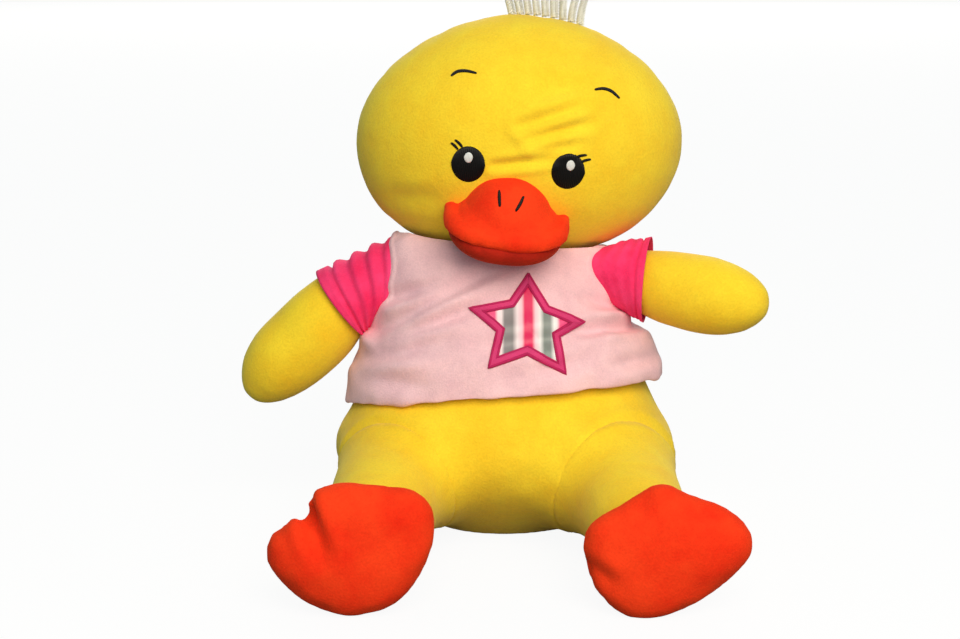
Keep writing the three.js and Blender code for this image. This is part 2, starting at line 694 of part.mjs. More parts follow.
function yarnTuft() {
  const crown = (x, y) => {
    const round = HEAD_ROUND / 2 + SEAM;
    const across = x / (HEAD_WIDTH / 2 + SEAM);
    return Math.sqrt(round * round * (1 - across * across) - y * y);
  };
  const end = new THREE.Vector2(TUFT_SPAN / 2, 0);
  const strip = barShape(end.clone().negate(), end, TUFT_DEPTH);
  const base = new THREE.ExtrudeGeometry(strip, { depth: HEAD_ROUND, bevelEnabled: false, curveSegments: 6 })
    .translate(TUFT_SIDE, TUFT_BACK, 0);
  let tuft = solidOf(base).intersect(headForm(SEAM + YARN_BASE).subtract(headForm(SEAM)));
  const section = new THREE.Shape();
  for (let i = 0; i < 4; i += 1) {
    const angle = (i * Math.PI) / 2;
    const point = [(YARN / 2) * Math.cos(angle), (YARN / 2) * Math.sin(angle)];
    if (i === 0) section.moveTo(...point);
    else section.lineTo(...point);
  }
  for (const row of [-1, 1]) {
    for (let i = 0; i < YARN_COUNT; i += 1) {
      const share = (2 * (i + (row + 1) / 4)) / (YARN_COUNT - 0.5) - 1;
      const x = TUFT_SIDE + (share * TUFT_SPAN) / 2;
      const y = TUFT_BACK + (row * TUFT_DEPTH) / 6;
      const foot = new THREE.Vector3(x, y, crown(x, y) + YARN_BASE / 3);
      const tip = foot.clone().add(new THREE.Vector3(share * TUFT_FAN, (row * TUFT_FAN) / 4, TUFT_HEIGHT));
      const middle = foot.clone().lerp(tip, 0.5).setX(foot.x + share * TUFT_FAN * 0.2);
      const path = new THREE.QuadraticBezierCurve3(foot, middle, tip);
      tuft = tuft.add(solidOf(new THREE.ExtrudeGeometry(section, { steps: 3, extrudePath: path, bevelEnabled: false })));
    }
  }
  return tuft;
}

addPiece(head, "yarn_tuft", yarnTuft(), COLOURS.white);

// Arms with their sleeves

// The sleeve's inside follows the arm, and its far end is turned up into a cuff.
function sleeveProfile(outline) {
  const end = SLEEVE_START + SLEEVE_LENGTH;
  const radiusAt = (y) => {
    const next = outline.findIndex((point) => point.y >= y);
    const [from, to] = [outline[next - 1], outline[next]];
    return THREE.MathUtils.lerp(from.x, to.x, (y - from.y) / (to.y - from.y));
  };
  const bends = outline.map((point) => point.y).filter((y) => y > SLEEVE_START && y < end - CUFF);
  const line = (levels, height) => levels.map((y) => new THREE.Vector2(radiusAt(y) + 2 * SEAM + height, y));
  const levels = [SLEEVE_START, ...bends, end - CUFF];
  return [
    ...line(levels, JERSEY),
    ...line([end - CUFF, end], JERSEY + CUFF_TURN),
    ...line([...levels, end].reverse(), 0),
    ...line([SLEEVE_START], JERSEY),
  ];
}

for (const side of ["left", "right"]) {
  const arm = arms[side];
  const pose = ARM_POSES[side];
  const outline = armOutline();
  const dressed = solidOf(geometryOf(dressedTorso(JOINT_GAP)), between(torso, arm));
  const headSide = solidOf(geometryOf(roomForHead), between(torso, arm));
  const underHead = sweptPast(headSide, Z_AXIS, -pose.lower, pose.raise);
  const path = sweptPast(dressed, Z_AXIS, -pose.lower, pose.raise).add(underHead);
  const pathRoundJoint = path.subtract(solidOf(ball(ARM_ROOT / 2 + ROOT_EASE, ROOT_SIDES))).add(underHead);
  const mouth = solidOf(halfSpace(new THREE.Vector3(0, -ARM_ROOT / 3, 0), new THREE.Vector3(0, -1, 0)));
  const skin = limbForm(outline, 0).subtract(limbForm(outline, -PLUSH)).subtract(mouth);
  addPiece(arm, `${side}_arm_skin`, skin.subtract(pathRoundJoint), COLOURS.yellow);
  addPiece(arm, `${side}_arm_stuffing`, limbForm(outline, -PLUSH - FILL_GAP).subtract(path), COLOURS.filling);
  const sleeve = solidOf(new THREE.LatheGeometry(sleeveProfile(outline), LIMB_SIDES)).subtract(path);
  addPiece(arm, `${side}_sleeve`, sleeve, COLOURS.hotPink);
}

// Legs, and the feet cut round the ankles

// A foot is a pad with the thickness along Y, seen from -Y, pressed flat on the floor.
function footPad(outline, offset) {
  const curve = new THREE.CatmullRomCurve3(
    outline.map(([x, z]) => new THREE.Vector3((x * FOOT_WIDTH) / 2, 0, (z * FOOT_HEIGHT) / 2)),
    true,
  );
  const rim = curve.getPoints(FOOT_SIDES);
  const pad = new THREE.SphereGeometry(1, FOOT_SIDES, FOOT_RINGS);
  const places = pad.attributes.position;
  for (let ring = 0; ring <= FOOT_RINGS; ring += 1) {
    const angle = (Math.PI * ring) / FOOT_RINGS;
    for (let i = 0; i <= FOOT_SIDES; i += 1) {
      const reach = (Math.sin(angle) * (rim[i].length() + offset)) / rim[i].length();
      const index = ring * (FOOT_SIDES + 1) + i;
      places.setXYZ(index, rim[i].x * reach, (FOOT_THICKNESS / 2 + offset) * Math.cos(angle), rim[i].z * reach);
    }
  }
  return pad;
}

for (const [side, sign] of [["left", 1], ["right", -1]]) {
  const { leg, foot, length } = legs[side];
  const outline = legOutline(length);
  const dressed = solidOf(geometryOf(dressedTorso(JOINT_GAP)), between(torso, leg));
  const path = sweptPast(dressed, X_AXIS, -LEG_LOWER_DEGREES, LEG_RAISE_DEGREES);
  const pathRoundJoint = path.subtract(solidOf(ball(LEG_ROOT / 2 + ROOT_EASE, ROOT_SIDES)));
  const mouth = solidOf(halfSpace(new THREE.Vector3(0, -LEG_ROOT / 3, 0), new THREE.Vector3(0, -1, 0)));
  const skin = limbForm(outline, 0).subtract(limbForm(outline, -PLUSH)).subtract(mouth);
  addPiece(leg, `${side}_leg_skin`, skin.subtract(pathRoundJoint), COLOURS.yellow);
  addPiece(leg, `${side}_leg_stuffing`, limbForm(outline, -PLUSH - FILL_GAP).subtract(path), COLOURS.filling);

  const shape = FOOT_SHAPES[side];
  const tip = THREE.MathUtils.degToRad(FOOT_TIP_BACK);
  const drop = (Math.min(...shape.map(([, z]) => z)) * FOOT_HEIGHT) / 2;
  const rise = -drop - (FOOT_PRESS + ANKLE_HEIGHT + FOOT_FORWARD * Math.sin(tip)) / Math.cos(tip);
  const placed = (offset) => footPad(shape, offset).translate(sign * FOOT_OUTWARD, -FOOT_FORWARD, rise);
  const floorCut = (height) =>
    solidOf(halfSpace(new THREE.Vector3(0, 0, height), new THREE.Vector3(0, 0, -1)), between(duck, foot));
  const ankle = solidOf(ball(LEG_END / 2 + JOINT_GAP));
  const footForm = (offset, floor) => solidOf(placed(offset)).subtract(floorCut(floor));
  const shell = footForm(0, 0).subtract(footForm(-PLUSH, PLUSH)).subtract(ankle);
  addPiece(foot, `${side}_foot_sole`, shell.subtract(behind(-FOOT_FORWARD - SEAM / 2)), COLOURS.orange);
  addPiece(foot, `${side}_foot_upper`, shell.subtract(before(-FOOT_FORWARD + SEAM / 2)), COLOURS.orange);
  addPiece(
    foot,
    `${side}_foot_stuffing`,
    footForm(-PLUSH - FILL_GAP, PLUSH + FILL_GAP).subtract(ankle),
    COLOURS.filling,
  );
}

export default duck;
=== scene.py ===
import json
import math

import bmesh
import bpy
from mathutils import Matrix, Vector, noise
from mathutils.bvhtree import BVHTree
from mathutils.geometry import interpolate_bezier
from mathutils.kdtree import KDTree


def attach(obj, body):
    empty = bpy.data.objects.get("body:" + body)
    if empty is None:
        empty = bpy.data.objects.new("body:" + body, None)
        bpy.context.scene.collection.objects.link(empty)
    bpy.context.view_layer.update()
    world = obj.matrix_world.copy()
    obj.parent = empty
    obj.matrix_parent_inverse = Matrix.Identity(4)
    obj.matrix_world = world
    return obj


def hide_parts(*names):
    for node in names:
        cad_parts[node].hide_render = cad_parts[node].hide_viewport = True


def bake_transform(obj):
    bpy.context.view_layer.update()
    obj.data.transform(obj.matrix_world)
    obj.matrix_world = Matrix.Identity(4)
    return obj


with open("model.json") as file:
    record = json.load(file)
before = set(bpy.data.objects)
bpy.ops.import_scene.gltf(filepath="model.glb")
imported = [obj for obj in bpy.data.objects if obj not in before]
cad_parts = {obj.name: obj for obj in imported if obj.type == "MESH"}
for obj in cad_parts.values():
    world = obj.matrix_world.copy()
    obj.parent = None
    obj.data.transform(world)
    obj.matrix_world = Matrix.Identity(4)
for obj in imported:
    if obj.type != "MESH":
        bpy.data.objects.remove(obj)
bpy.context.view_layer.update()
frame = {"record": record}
scene = bpy.context.scene

# Camera
# A long lens in front of the duck and a little higher than its head, looking 12 degrees down at it.
# The aim is beside the middle of the body, as the duck sits in the frame of the photograph.
CAMERA_PLACE = Vector((-0.019, -1.3694, 0.4541))
CAMERA_AIM = Vector((-0.019, 0.0, 0.163))
camera_data = bpy.data.cameras.new("camera")
camera_data.lens = 68.2
camera_data.sensor_width = 36.0
camera = bpy.data.objects.new("camera", camera_data)
camera.location = CAMERA_PLACE
camera.rotation_euler = (CAMERA_AIM - CAMERA_PLACE).to_track_quat("-Z", "Y").to_euler()
scene.collection.objects.link(camera)
scene.camera = camera

# Floor and light
# A pale floor that keeps a soft shadow, a broad warm lamp above the camera, a large one far behind the duck,
# and dim cool light all round, which turns the shaded sides of the yellow plush olive.
scene.view_settings.view_transform = "Standard"
FLOOR_SIDE = 40.0
FLOOR_WHITE = 0.93
FLOOR_BOUNCE = 0.18
FLOOR_SHADED = 0.95
SURROUND = (0.46, 0.80, 0.90)
SURROUND_STRENGTH = 0.36
LAMP_AIM = Vector((0, 0, 0.2))
LAMPS = (
    ("key", (0.36, -1.62, 1.28), 1.5, 41.5, (1.0, 0.89, 0.74)),
    ("back", (0.2, 10.0, 4.5), 6.0, 590.0, (1.0, 0.88, 0.72)),
)

floor_bm = bmesh.new()
bmesh.ops.create_grid(floor_bm, x_segments=4, y_segments=4, size=FLOOR_SIDE / 2)
floor_mesh = bpy.data.meshes.new("floor")
floor_bm.to_mesh(floor_mesh)
floor_bm.free()
floor = bpy.data.objects.new("floor", floor_mesh)
scene.collection.objects.link(floor)

floor_paint = bpy.data.materials.new("pale_floor")
floor_paint.use_nodes = True
nodes, links = floor_paint.node_tree.nodes, floor_paint.node_tree.links
paint = nodes["Principled BSDF"]
paint.inputs["Base Color"].default_value = (FLOOR_BOUNCE, FLOOR_BOUNCE, FLOOR_BOUNCE, 1)
paint.inputs["Roughness"].default_value = 0.9
shadowed = nodes.new("ShaderNodeBsdfDiffuse")
shadowed.inputs["Color"].default_value = (FLOOR_SHADED, FLOOR_SHADED, FLOOR_SHADED, 1)
glow = nodes.new("ShaderNodeEmission")
pale = nodes.new("ShaderNodeMixShader")
pale.inputs[0].default_value = FLOOR_WHITE
seen = nodes.new("ShaderNodeLightPath")
mix = nodes.new("ShaderNodeMixShader")
links.new(shadowed.outputs[0], pale.inputs[1])
links.new(glow.outputs[0], pale.inputs[2])
links.new(seen.outputs["Is Camera Ray"], mix.inputs[0])
links.new(paint.outputs[0], mix.inputs[1])
links.new(pale.outputs[0], mix.inputs[2])
links.new(mix.outputs[0], nodes["Material Output"].inputs["Surface"])
floor_mesh.materials.append(floor_paint)

world = bpy.data.worlds.new("white_room")
scene.world = world
world.use_nodes = True
nodes, links = world.node_tree.nodes, world.node_tree.links
surround = nodes["Background"]
surround.inputs["Color"].default_value = (*SURROUND, 1)
surround.inputs["Strength"].default_value = SURROUND_STRENGTH
white = nodes.new("ShaderNodeBackground")
white.inputs["Color"].default_value = (1, 1, 1, 1)
seen = nodes.new("ShaderNodeLightPath")
direct = nodes.new("ShaderNodeMath")
direct.operation = "MAXIMUM"
links.new(seen.outputs["Is Camera Ray"], direct.inputs[0])
links.new(seen.outputs["Is Glossy Ray"], direct.inputs[1])
through = nodes.new("ShaderNodeMath")
through.operation = "MAXIMUM"
links.new(direct.outputs[0], through.inputs[0])
links.new(seen.outputs["Is Transmission Ray"], through.inputs[1])
mix = nodes.new("ShaderNodeMixShader")
links.new(through.outputs[0], mix.inputs[0])
links.new(surround.outputs[0], mix.inputs[1])
links.new(white.outputs[0], mix.inputs[2])
links.new(mix.outputs[0], nodes["World Output"].inputs["Surface"])

for name, place, side, power, colour in LAMPS:
    lamp_data = bpy.data.lights.new(name, "AREA")
    lamp_data.size = side
    lamp_data.energy = power
    lamp_data.color = colour
    lamp = bpy.data.objects.new(name, lamp_data)
    lamp.location = place
    lamp.rotation_euler = (LAMP_AIM - lamp.location).to_track_quat("-Z", "Y").to_euler()
    scene.collection.objects.link(lamp)

# Body
# A pear-shaped bag of short yellow plush, cut as a front and a back panel, sewn up the sides and stuffed
# firmly. It sits on the middle of a rounded seat, and the top is dished where the head settles into it.
TORSO_LEAN = math.radians(10)
BODY_OUTLINE = (
    (0.0, -0.006), (0.030, -0.0045), (0.055, 0.0040), (0.083, 0.0165), (0.109, 0.0315), (0.1270, 0.0470),
    (0.1320, 0.0610), (0.1285, 0.0760), (0.119, 0.094), (0.109, 0.118), (0.098, 0.152), (0.082, 0.185),
    (0.060, 0.206), (0.0, 0.214),
)
BODY_DEPTH = 0.78
BODY_ROUND = 64
BODY_CLOTH = 0.005
BODY_SEAM_BACK = 0.020
BODY_SEAM = 0.004
BODY_SWELL = 0.004
BODY_LOWEST = 0.0005
BAG_PRESSURE = 4.0
FILLING_STEPS = 20
HEAD_HALF = Vector((0.128, 0.0975, 0.0975))
HEAD_ROOM = 0.003
HEAD_DROOP = 0.0963
DROOP_START = 0.03
YELLOW = (255, 219, 50)
YELLOW_NAP = (252, 204, 40)
YELLOW_SHEEN = (255, 250, 220)

torso = Matrix.Rotation(-TORSO_LEAN, 4, "X")
joints = {joint["name"]: joint for joint in frame["record"]["behaviour"]["joints"]}
head_centre = Vector(joints["neck_nod"]["pos_m"])
head_axis = Vector(joints["neck_nod"]["axis"])
head_form = Matrix.Translation(head_centre) @ Matrix.Rotation(-math.atan2(head_axis.z, head_axis.x), 4, "Y")
to_head = head_form.inverted()
to_torso = torso.inverted()


def dye(red, green, blue):
    """A dye named by its 8-bit screen values, as the linear colour that a shader takes."""
    def linear(value):
        share = value / 255
        return share / 12.92 if share <= 0.04045 else ((share + 0.055) / 1.055) ** 2.4
    return (linear(red), linear(green), linear(blue), 1.0)


def smooth_line(points, steps, closed=False):
    """A smooth line through points, with the given number of steps from one to the next."""
    points = [Vector(point).to_3d() for point in points]
    count = len(points)
    line = []
    for i in range(count if closed else count - 1):
        a, b = points[i], points[(i + 1) % count]
        before = points[i - 1] if closed or i > 0 else a
        after = points[(i + 2) % count] if closed or i + 2 < count else b
        line += interpolate_bezier(a, a + (b - before) / 6, b - (after - a) / 6, b, steps + 1)[:-1]
    return line if closed else line + [points[-1]]


def piece(name, bm):
    """A finished mesh as a piece of the duck."""
    mesh = bpy.data.meshes.new(name)
    bm.to_mesh(mesh)
    bm.free()
    obj = bpy.data.objects.new(name, mesh)
    scene.collection.objects.link(obj)
    mesh.shade_smooth()
    return obj


def settle(obj):
    """Make what the modifiers give the object's own mesh."""
    given = bpy.data.meshes.new_from_object(obj.evaluated_get(bpy.context.evaluated_depsgraph_get()))
    obj.modifiers.clear()
    obj.data = given
    given.name = obj.name


def press(obj, depth_at):
    """Move each point of a skin along its normal, as a thumb would, by what depth_at gives there."""
    for v, move in [(v, v.normal * depth_at(v.co)) for v in obj.data.vertices]:
        v.co += move
    obj.data.update()


def refine(obj):
    """Divide each face of a piece once and round it off."""
    fine = obj.modifiers.new("fine", "SUBSURF")
    fine.levels = 1
    fine.render_levels = 1
    settle(obj)
    obj.data.shade_smooth()


def stuffed(name, bm, cloth_size, pressure, swell, on_seam=lambda place: False):
    """Sew a bag and fill it: the cloth swells by no more than swell, and is held where on_seam is true."""
    bag = piece(name, bm)
    even = bag.modifiers.new("even_cloth", "REMESH")
    even.mode = "VOXEL"
    even.voxel_size = cloth_size
    settle(bag)
    flat = [v.co.copy() for v in bag.data.vertices]
    seam = bag.vertex_groups.new(name="seam")
    seam.add([v.index for v in bag.data.vertices if on_seam(v.co)], 1.0, "REPLACE")
    filling = bag.modifiers.new("filling", "CLOTH")
    filling.point_cache.frame_end = FILLING_STEPS
    cloth = filling.settings
    cloth.quality = 5
    cloth.mass = 0.15
    cloth.tension_stiffness = 12
    cloth.compression_stiffness = 12
    cloth.bending_stiffness = 0.4
    cloth.shrink_min = -0.02
    cloth.use_pressure = True
    cloth.uniform_pressure_force = pressure
    cloth.effector_weights.gravity = 0
    cloth.vertex_group_mass = "seam"
    filling.collision_settings.use_collision = False
    for step in range(1, FILLING_STEPS + 1):
        scene.frame_set(step)
    settle(bag)
    scene.frame_set(1)
    for v, start in zip(bag.data.vertices, flat):
        move = v.co - start
        if move.length > swell:
            v.co = start + move * (swell / move.length)
    bag.vertex_groups.clear()
    smoothed = bmesh.new()
    smoothed.from_mesh(bag.data)
    for _ in range(3):
        bmesh.ops.smooth_vert(
            smoothed, verts=smoothed.verts, factor=0.5, use_axis_x=True, use_axis_y=True, use_axis_z=True
        )
    smoothed.to_mesh(bag.data)
    smoothed.free()
    refine(bag)
    return bag


def plush(name, colour, nap, sheen, pile=620.0, nap_size=26.0):
    """Short brushed plush: patches where the nap lies over, and a fine grain of pile tips."""
    cloth = bpy.data.materials.new(name)
    cloth.use_nodes = True
    nodes, links = cloth.node_tree.nodes, cloth.node_tree.links
    shader = nodes["Principled BSDF"]
    shader.inputs["Roughness"].default_value = 0.88
    shader.inputs["Specular IOR Level"].default_value = 0.12
    shader.inputs["Sheen Weight"].default_value = 0.18
    shader.inputs["Sheen Roughness"].default_value = 0.5
    shader.inputs["Sheen Tint"].default_value = dye(*sheen)
    place = nodes.new("ShaderNodeTexCoord")
    patches = nodes.new("ShaderNodeTexNoise")
    patches.inputs["Scale"].default_value = nap_size
    patches.inputs["Detail"].default_value = 5
    patches.inputs["Roughness"].default_value = 0.62
    tone = nodes.new("ShaderNodeValToRGB")
    tone.color_ramp.elements[0].position = 0.30
    tone.color_ramp.elements[0].color = dye(*nap)
    tone.color_ramp.elements[1].position = 0.62
    tone.color_ramp.elements[1].color = dye(*colour)
    grain = nodes.new("ShaderNodeTexNoise")
    grain.inputs["Scale"].default_value = pile
    grain.inputs["Detail"].default_value = 3
    tips = nodes.new("ShaderNodeMapRange")
    tips.inputs["From Min"].default_value = 0.3
    tips.inputs["From Max"].default_value = 0.7
    tips.inputs["To Min"].default_value = 0.92
    tips.inputs["To Max"].default_value = 1.04
    shade = nodes.new("ShaderNodeVectorMath")
    shade.operation = "SCALE"
    lie = nodes.new("ShaderNodeBump")
    lie.inputs["Strength"].default_value = 0.25
    lie.inputs["Distance"].default_value = 0.004
    rough = nodes.new("ShaderNodeBump")
    rough.inputs["Strength"].default_value = 0.5
    rough.inputs["Distance"].default_value = 0.0007
    for texture in (patches, grain):
        links.new(place.outputs["Object"], texture.inputs["Vector"])
    links.new(patches.outputs["Fac"], tone.inputs["Fac"])
    links.new(grain.outputs["Fac"], tips.inputs["Value"])
    links.new(tone.outputs["Color"], shade.inputs[0])
    links.new(tips.outputs["Result"], shade.inputs["Scale"])
    links.new(shade.outputs["Vector"], shader.inputs["Base Color"])
    links.new(patches.outputs["Fac"], lie.inputs["Height"])
    links.new(grain.outputs["Fac"], rough.inputs["Height"])
    links.new(lie.outputs["Normal"], rough.inputs["Normal"])
    links.new(rough.outputs["Normal"], shader.inputs["Normal"])
    return cloth


def turned(outline, across, depth=1.0):
    """A closed form turned round its own Z axis from an outline of (half width, level), set to a depth."""
    bm = bmesh.new()
    line = [bm.verts.new((point.x, 0, point.y)) for point in smooth_line(outline, 4)]
    edges = [bm.edges.new(pair) for pair in zip(line, line[1:])]
    bmesh.ops.spin(
        bm, geom=line + edges, axis=(0, 0, 1), cent=(0, 0, 0), angle=math.tau, steps=across, use_merge=True
    )
    bmesh.ops.remove_doubles(bm, verts=bm.verts, dist=1e-5)
    bmesh.ops.scale(bm, vec=(1, depth, 1), verts=bm.verts)
    bmesh.ops.recalc_face_normals(bm, faces=bm.faces)
    return bm


def droop(x):
    """How far the head hangs down on its left side, at a distance of x from its middle."""
    return HEAD_DROOP * x * x / (x + DROOP_START) if x > 0 else 0.0


def out_of_head(place):
    """A point that lies in the head's room, moved out to the wall of the dish."""
    local = to_head @ place
    local.z += droop(local.x)
    room = HEAD_HALF + Vector((HEAD_ROOM,) * 3)
    reach = Vector((local.x / room.x, local.y / room.y, local.z / room.z)).length
    if reach >= 1:
        return place
    local /= max(reach, 0.05)
    local.z -= droop(local.x)
    return head_form @ local


yellow_plush = plush("yellow_plush", YELLOW, YELLOW_NAP, YELLOW_SHEEN)
body_bm = turned(BODY_OUTLINE, BODY_ROUND, BODY_DEPTH)
bmesh.ops.transform(body_bm, matrix=torso, verts=body_bm.verts)
body = stuffed(
    "stuffed_body", body_bm, BODY_CLOTH, BAG_PRESSURE, BODY_SWELL,
    lambda place: abs((to_torso @ place).y - BODY_SEAM_BACK) < BODY_SEAM,
)
for v in body.data.vertices:
    v.co = out_of_head(v.co)
    v.co.z = max(v.co.z, BODY_LOWEST)
body.data.materials.append(yellow_plush)
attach(body, "torso")
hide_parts("body_front", "body_back", "body_stuffing")

# Shirt
# A short shirt of pale pink velour, two panels pulled on over the body and sewn to it at the neck.
# It is tight over the belly, folds run from the armpits, and the hem is turned up and curls at the sides.
SHIRT_LOOPS = (
    (0.1130, 0.1185, 0.0935), (0.1075, 0.1210, 0.0960), (0.1060, 0.1235, 0.0990), (0.1090, 0.1245, 0.0998),
    (0.1200, 0.1225, 0.0978), (0.1330, 0.1180, 0.0948), (0.1480, 0.1095, 0.0895), (0.1620, 0.1000, 0.0838),
    (0.1780, 0.0940, 0.0778), (0.1950, 0.0910, 0.0715), (0.2090, 0.0885, 0.0660), (0.2175, 0.0840, 0.0615),
    (0.2215, 0.0760, 0.0570), (0.2210, 0.0705, 0.0540),
)
SHIRT_PULL = -0.006
CHEST_LEVEL = 0.140
WAIST_LEVEL = 0.172
LEVEL_CHANGE = 0.055
NECK_LEVEL = 0.195
NECK_CHANGE = 0.026
FRONT_CHANGE = 0.045
SHOULDER_HALF = 0.085
SHOULDER_RISE = 0.015
NECK_DIP = 0.007
SHIRT_STEPS = 5
HEM_SLOPE = 0.0814
HEM_LEVEL = 0.106
HEM_DEEP = 0.014
SHIRT_ROUND = 180
SHIRT_CLOTH = 0.0018
SHIRT_EASE = 0.0006
SHIRT_LOOSE = 0.030
SHIRT_BACK_LOOSE = 0.006
BACK_BEGINS = (0.005, 0.120)
BACK_CHANGE = (0.045, 0.040)
SHIRT_LUMPS = (0.0012, 42)
HEM_LUMPS = (0.0022, 60)
SHIRT_FOLDS = (
    ((-0.100, 0.152), (-0.020, 0.191), 0.0042, 0.0060), ((-0.096, 0.146), (-0.022, 0.171), 0.0046, 0.0052),
    ((-0.084, 0.178), (0.006, 0.201), 0.0050, 0.0040), ((0.110, 0.157), (0.050, 0.155), 0.0042, 0.0064),
    ((0.066, 0.150), (-0.022, 0.142), 0.0060, 0.0034), ((-0.114, 0.130), (-0.044, 0.148), 0.0060, 0.0036),
    ((0.104, 0.166), (0.060, 0.178), 0.0045, 0.0036), ((-0.108, 0.118), (-0.056, 0.113), 0.0060, 0.0026),
    ((0.114, 0.133), (0.074, 0.127), 0.0050, 0.0030), ((0.030, 0.128), (0.076, 0.139), 0.0060, 0.0022),
)
SHIRT_BACK_FOLDS = (
    ((-0.096, 0.150), (-0.030, 0.176), 0.0060, 0.0034), ((0.100, 0.158), (0.030, 0.172), 0.0060, 0.0034),
    ((-0.104, 0.128), (-0.046, 0.136), 0.0070, 0.0026), ((0.060, 0.122), (0.008, 0.134), 0.0075, 0.0024),
)
SHIRT_PINK = (252, 206, 213)
SHIRT_NAP = (234, 187, 197)
SHIRT_SHEEN = (255, 235, 238)


def unit(value):
    """A value held between 0 and 1."""
    return max(0.0, min(1.0, value))


def lumps(place, height, count):
    """How uneven a skin is at a place: lumps of a height, with so many to the metre."""
    return height * noise.noise(place * count)


def thicken(obj, thickness):
    """Give a sheet its thickness, inwards from the side that shows."""
    wall = obj.modifiers.new("wall", "SOLIDIFY")
    wall.thickness = thickness
    wall.offset = -1
    settle(obj)
    obj.data.shade_smooth()


def fold(place, start, end, width):
    """1 in the valley of a fold from start to end, less beside it, and below 0 on the ridges at its sides."""
    start, end = Vector(start), Vector(end)
    span = end - start
    share = unit((place - start).dot(span) / span.length_squared)
    away = (place - start.lerp(end, share)).length / width
    fade = 0.25 + 0.75 * math.sin(math.pi * min(1.0, 0.15 + 0.85 * share)) ** 0.7
    return fade * (math.exp(-away * away) - 0.55 * math.exp(-((away - 2.0) ** 2)))


def wrapped(around, along, place_at):
    """A flat grid wrapped round as a tube: place_at gives the point at a turn and a share of its length."""
    bm = bmesh.new()
    bm.loops.layers.uv.new("lay")
    bmesh.ops.create_grid(bm, x_segments=around, y_segments=along, size=1, calc_uvs=True)
    for v in bm.verts:
        v.co = place_at((v.co.x + 1) / 2 * math.tau, (v.co.y + 1) / 2)
    bmesh.ops.remove_doubles(bm, verts=bm.verts, dist=1e-6)
    bmesh.ops.recalc_face_normals(bm, faces=bm.faces)
    bm.normal_update()
    return bm


def skin_of(obj):
    """The surface of a finished piece, to lay other pieces on."""
    bm = bmesh.new()
    bm.from_mesh(obj.data)
    tree = BVHTree.FromBMesh(bm)
    bm.free()
    return tree


shirt_line = smooth_line(SHIRT_LOOPS, SHIRT_STEPS)


def shirt_shape(turn, share):
    """The shirt before it creases: squarer and pulled to its right at the shoulders, tilted at the hem."""
    level, wide, deep = shirt_line[round(share * (len(shirt_line) - 1))]
    high = unit((level - CHEST_LEVEL) / LEVEL_CHANGE)
    square = 0.94 - 0.16 * high
    x = math.copysign(abs(math.cos(turn)) ** square, math.cos(turn)) * wide
    y = math.copysign(abs(math.sin(turn)) ** square, math.sin(turn)) * deep
    tilt = unit((WAIST_LEVEL - level) / LEVEL_CHANGE)
    top = max(0.0, (level - NECK_LEVEL) / NECK_CHANGE)
    front = unit((FRONT_CHANGE - y) / FRONT_CHANGE)
    rise = front * top * (SHOULDER_RISE * abs(x / SHOULDER_HALF) ** 3 - NECK_DIP * unit(x / FRONT_CHANGE))
    return Vector((x + SHIRT_PULL * high, y, level + HEM_SLOPE * x * tilt + rise))


shirt_bm = wrapped(SHIRT_ROUND, len(shirt_line) - 1, shirt_shape)
for v, out in [(v, v.normal.copy()) for v in shirt_bm.verts]:
    flat = Vector((v.co.x, v.co.z))
    folds = SHIRT_FOLDS if v.co.y < 0 else SHIRT_BACK_FOLDS
    v.co -= out * sum(depth * fold(flat, a, b, width) for a, b, width, depth in folds)
    hem = max(0.0, 1 - (v.co.z - HEM_SLOPE * v.co.x - HEM_LEVEL) / HEM_DEEP)
    curl = hem * lumps(Vector((v.co.x, v.co.y, 0)), *HEM_LUMPS)
    v.co += out * (lumps(v.co, *SHIRT_LUMPS) + curl)
bmesh.ops.transform(shirt_bm, matrix=torso, verts=shirt_bm.verts)
body_skin = skin_of(body)
for v in shirt_bm.verts:
    near, facing, _, _ = body_skin.find_nearest(v.co)
    local = to_torso @ v.co
    behind = unit((local.y - BACK_BEGINS[0]) / BACK_CHANGE[0])
    behind *= unit((local.z - BACK_BEGINS[1]) / BACK_CHANGE[1])
    slack = SHIRT_LOOSE + (SHIRT_BACK_LOOSE - SHIRT_LOOSE) * behind
    gap = (v.co - near).dot(facing)
    v.co += facing * (max(SHIRT_CLOTH + SHIRT_EASE, min(slack, gap)) - gap)
shirt = piece("shirt_cloth", shirt_bm)
thicken(shirt, SHIRT_CLOTH)
refine(shirt)
for v in shirt.data.vertices:
    v.co = out_of_head(v.co)
shirt.data.materials.append(plush("shirt_velour", SHIRT_PINK, SHIRT_NAP, SHIRT_SHEEN, pile=800, nap_size=38))
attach(shirt, "torso")
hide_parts("shirt_front", "shirt_back")

# Neckband
# A narrow tube of hot pink ribbed knit, sewn round the neckline of the shirt. Its pink is darker than the
# sleeves' as painted shade, for the shadow under the head's edge.
# The head hides it all but at the back and the side.
NECKBAND_HALF = (0.0715, 0.0555)
NECKBAND_THICK = 0.0032
NECKBAND_LEVEL = 0.2150
NECKBAND_TILT = math.radians(3)
# Deep pinks darker than the sleeves: painted shade under the head's edge.
BAND_PINK_IN_SHADE = (196, 30, 78)
BAND_NAP_IN_SHADE = (150, 14, 52)
BAND_SHEEN = (230, 90, 130)


def ring(radius, thick, level, sides, steps):
    """A closed ring of round section that lies flat at a level."""
    bm = bmesh.new()
    section = bmesh.ops.create_circle(bm, segments=sides, radius=thick)["verts"]
    bmesh.ops.rotate(bm, verts=section, matrix=Matrix.Rotation(math.pi / 2, 3, "X"))
    bmesh.ops.translate(bm, verts=section, vec=(radius, 0, level))
    bmesh.ops.spin(
        bm, geom=section + list(bm.edges), axis=(0, 0, 1), cent=(0, 0, level), angle=math.tau, steps=steps,
        use_merge=True,
    )
    bmesh.ops.recalc_face_normals(bm, faces=bm.faces)
    return bm


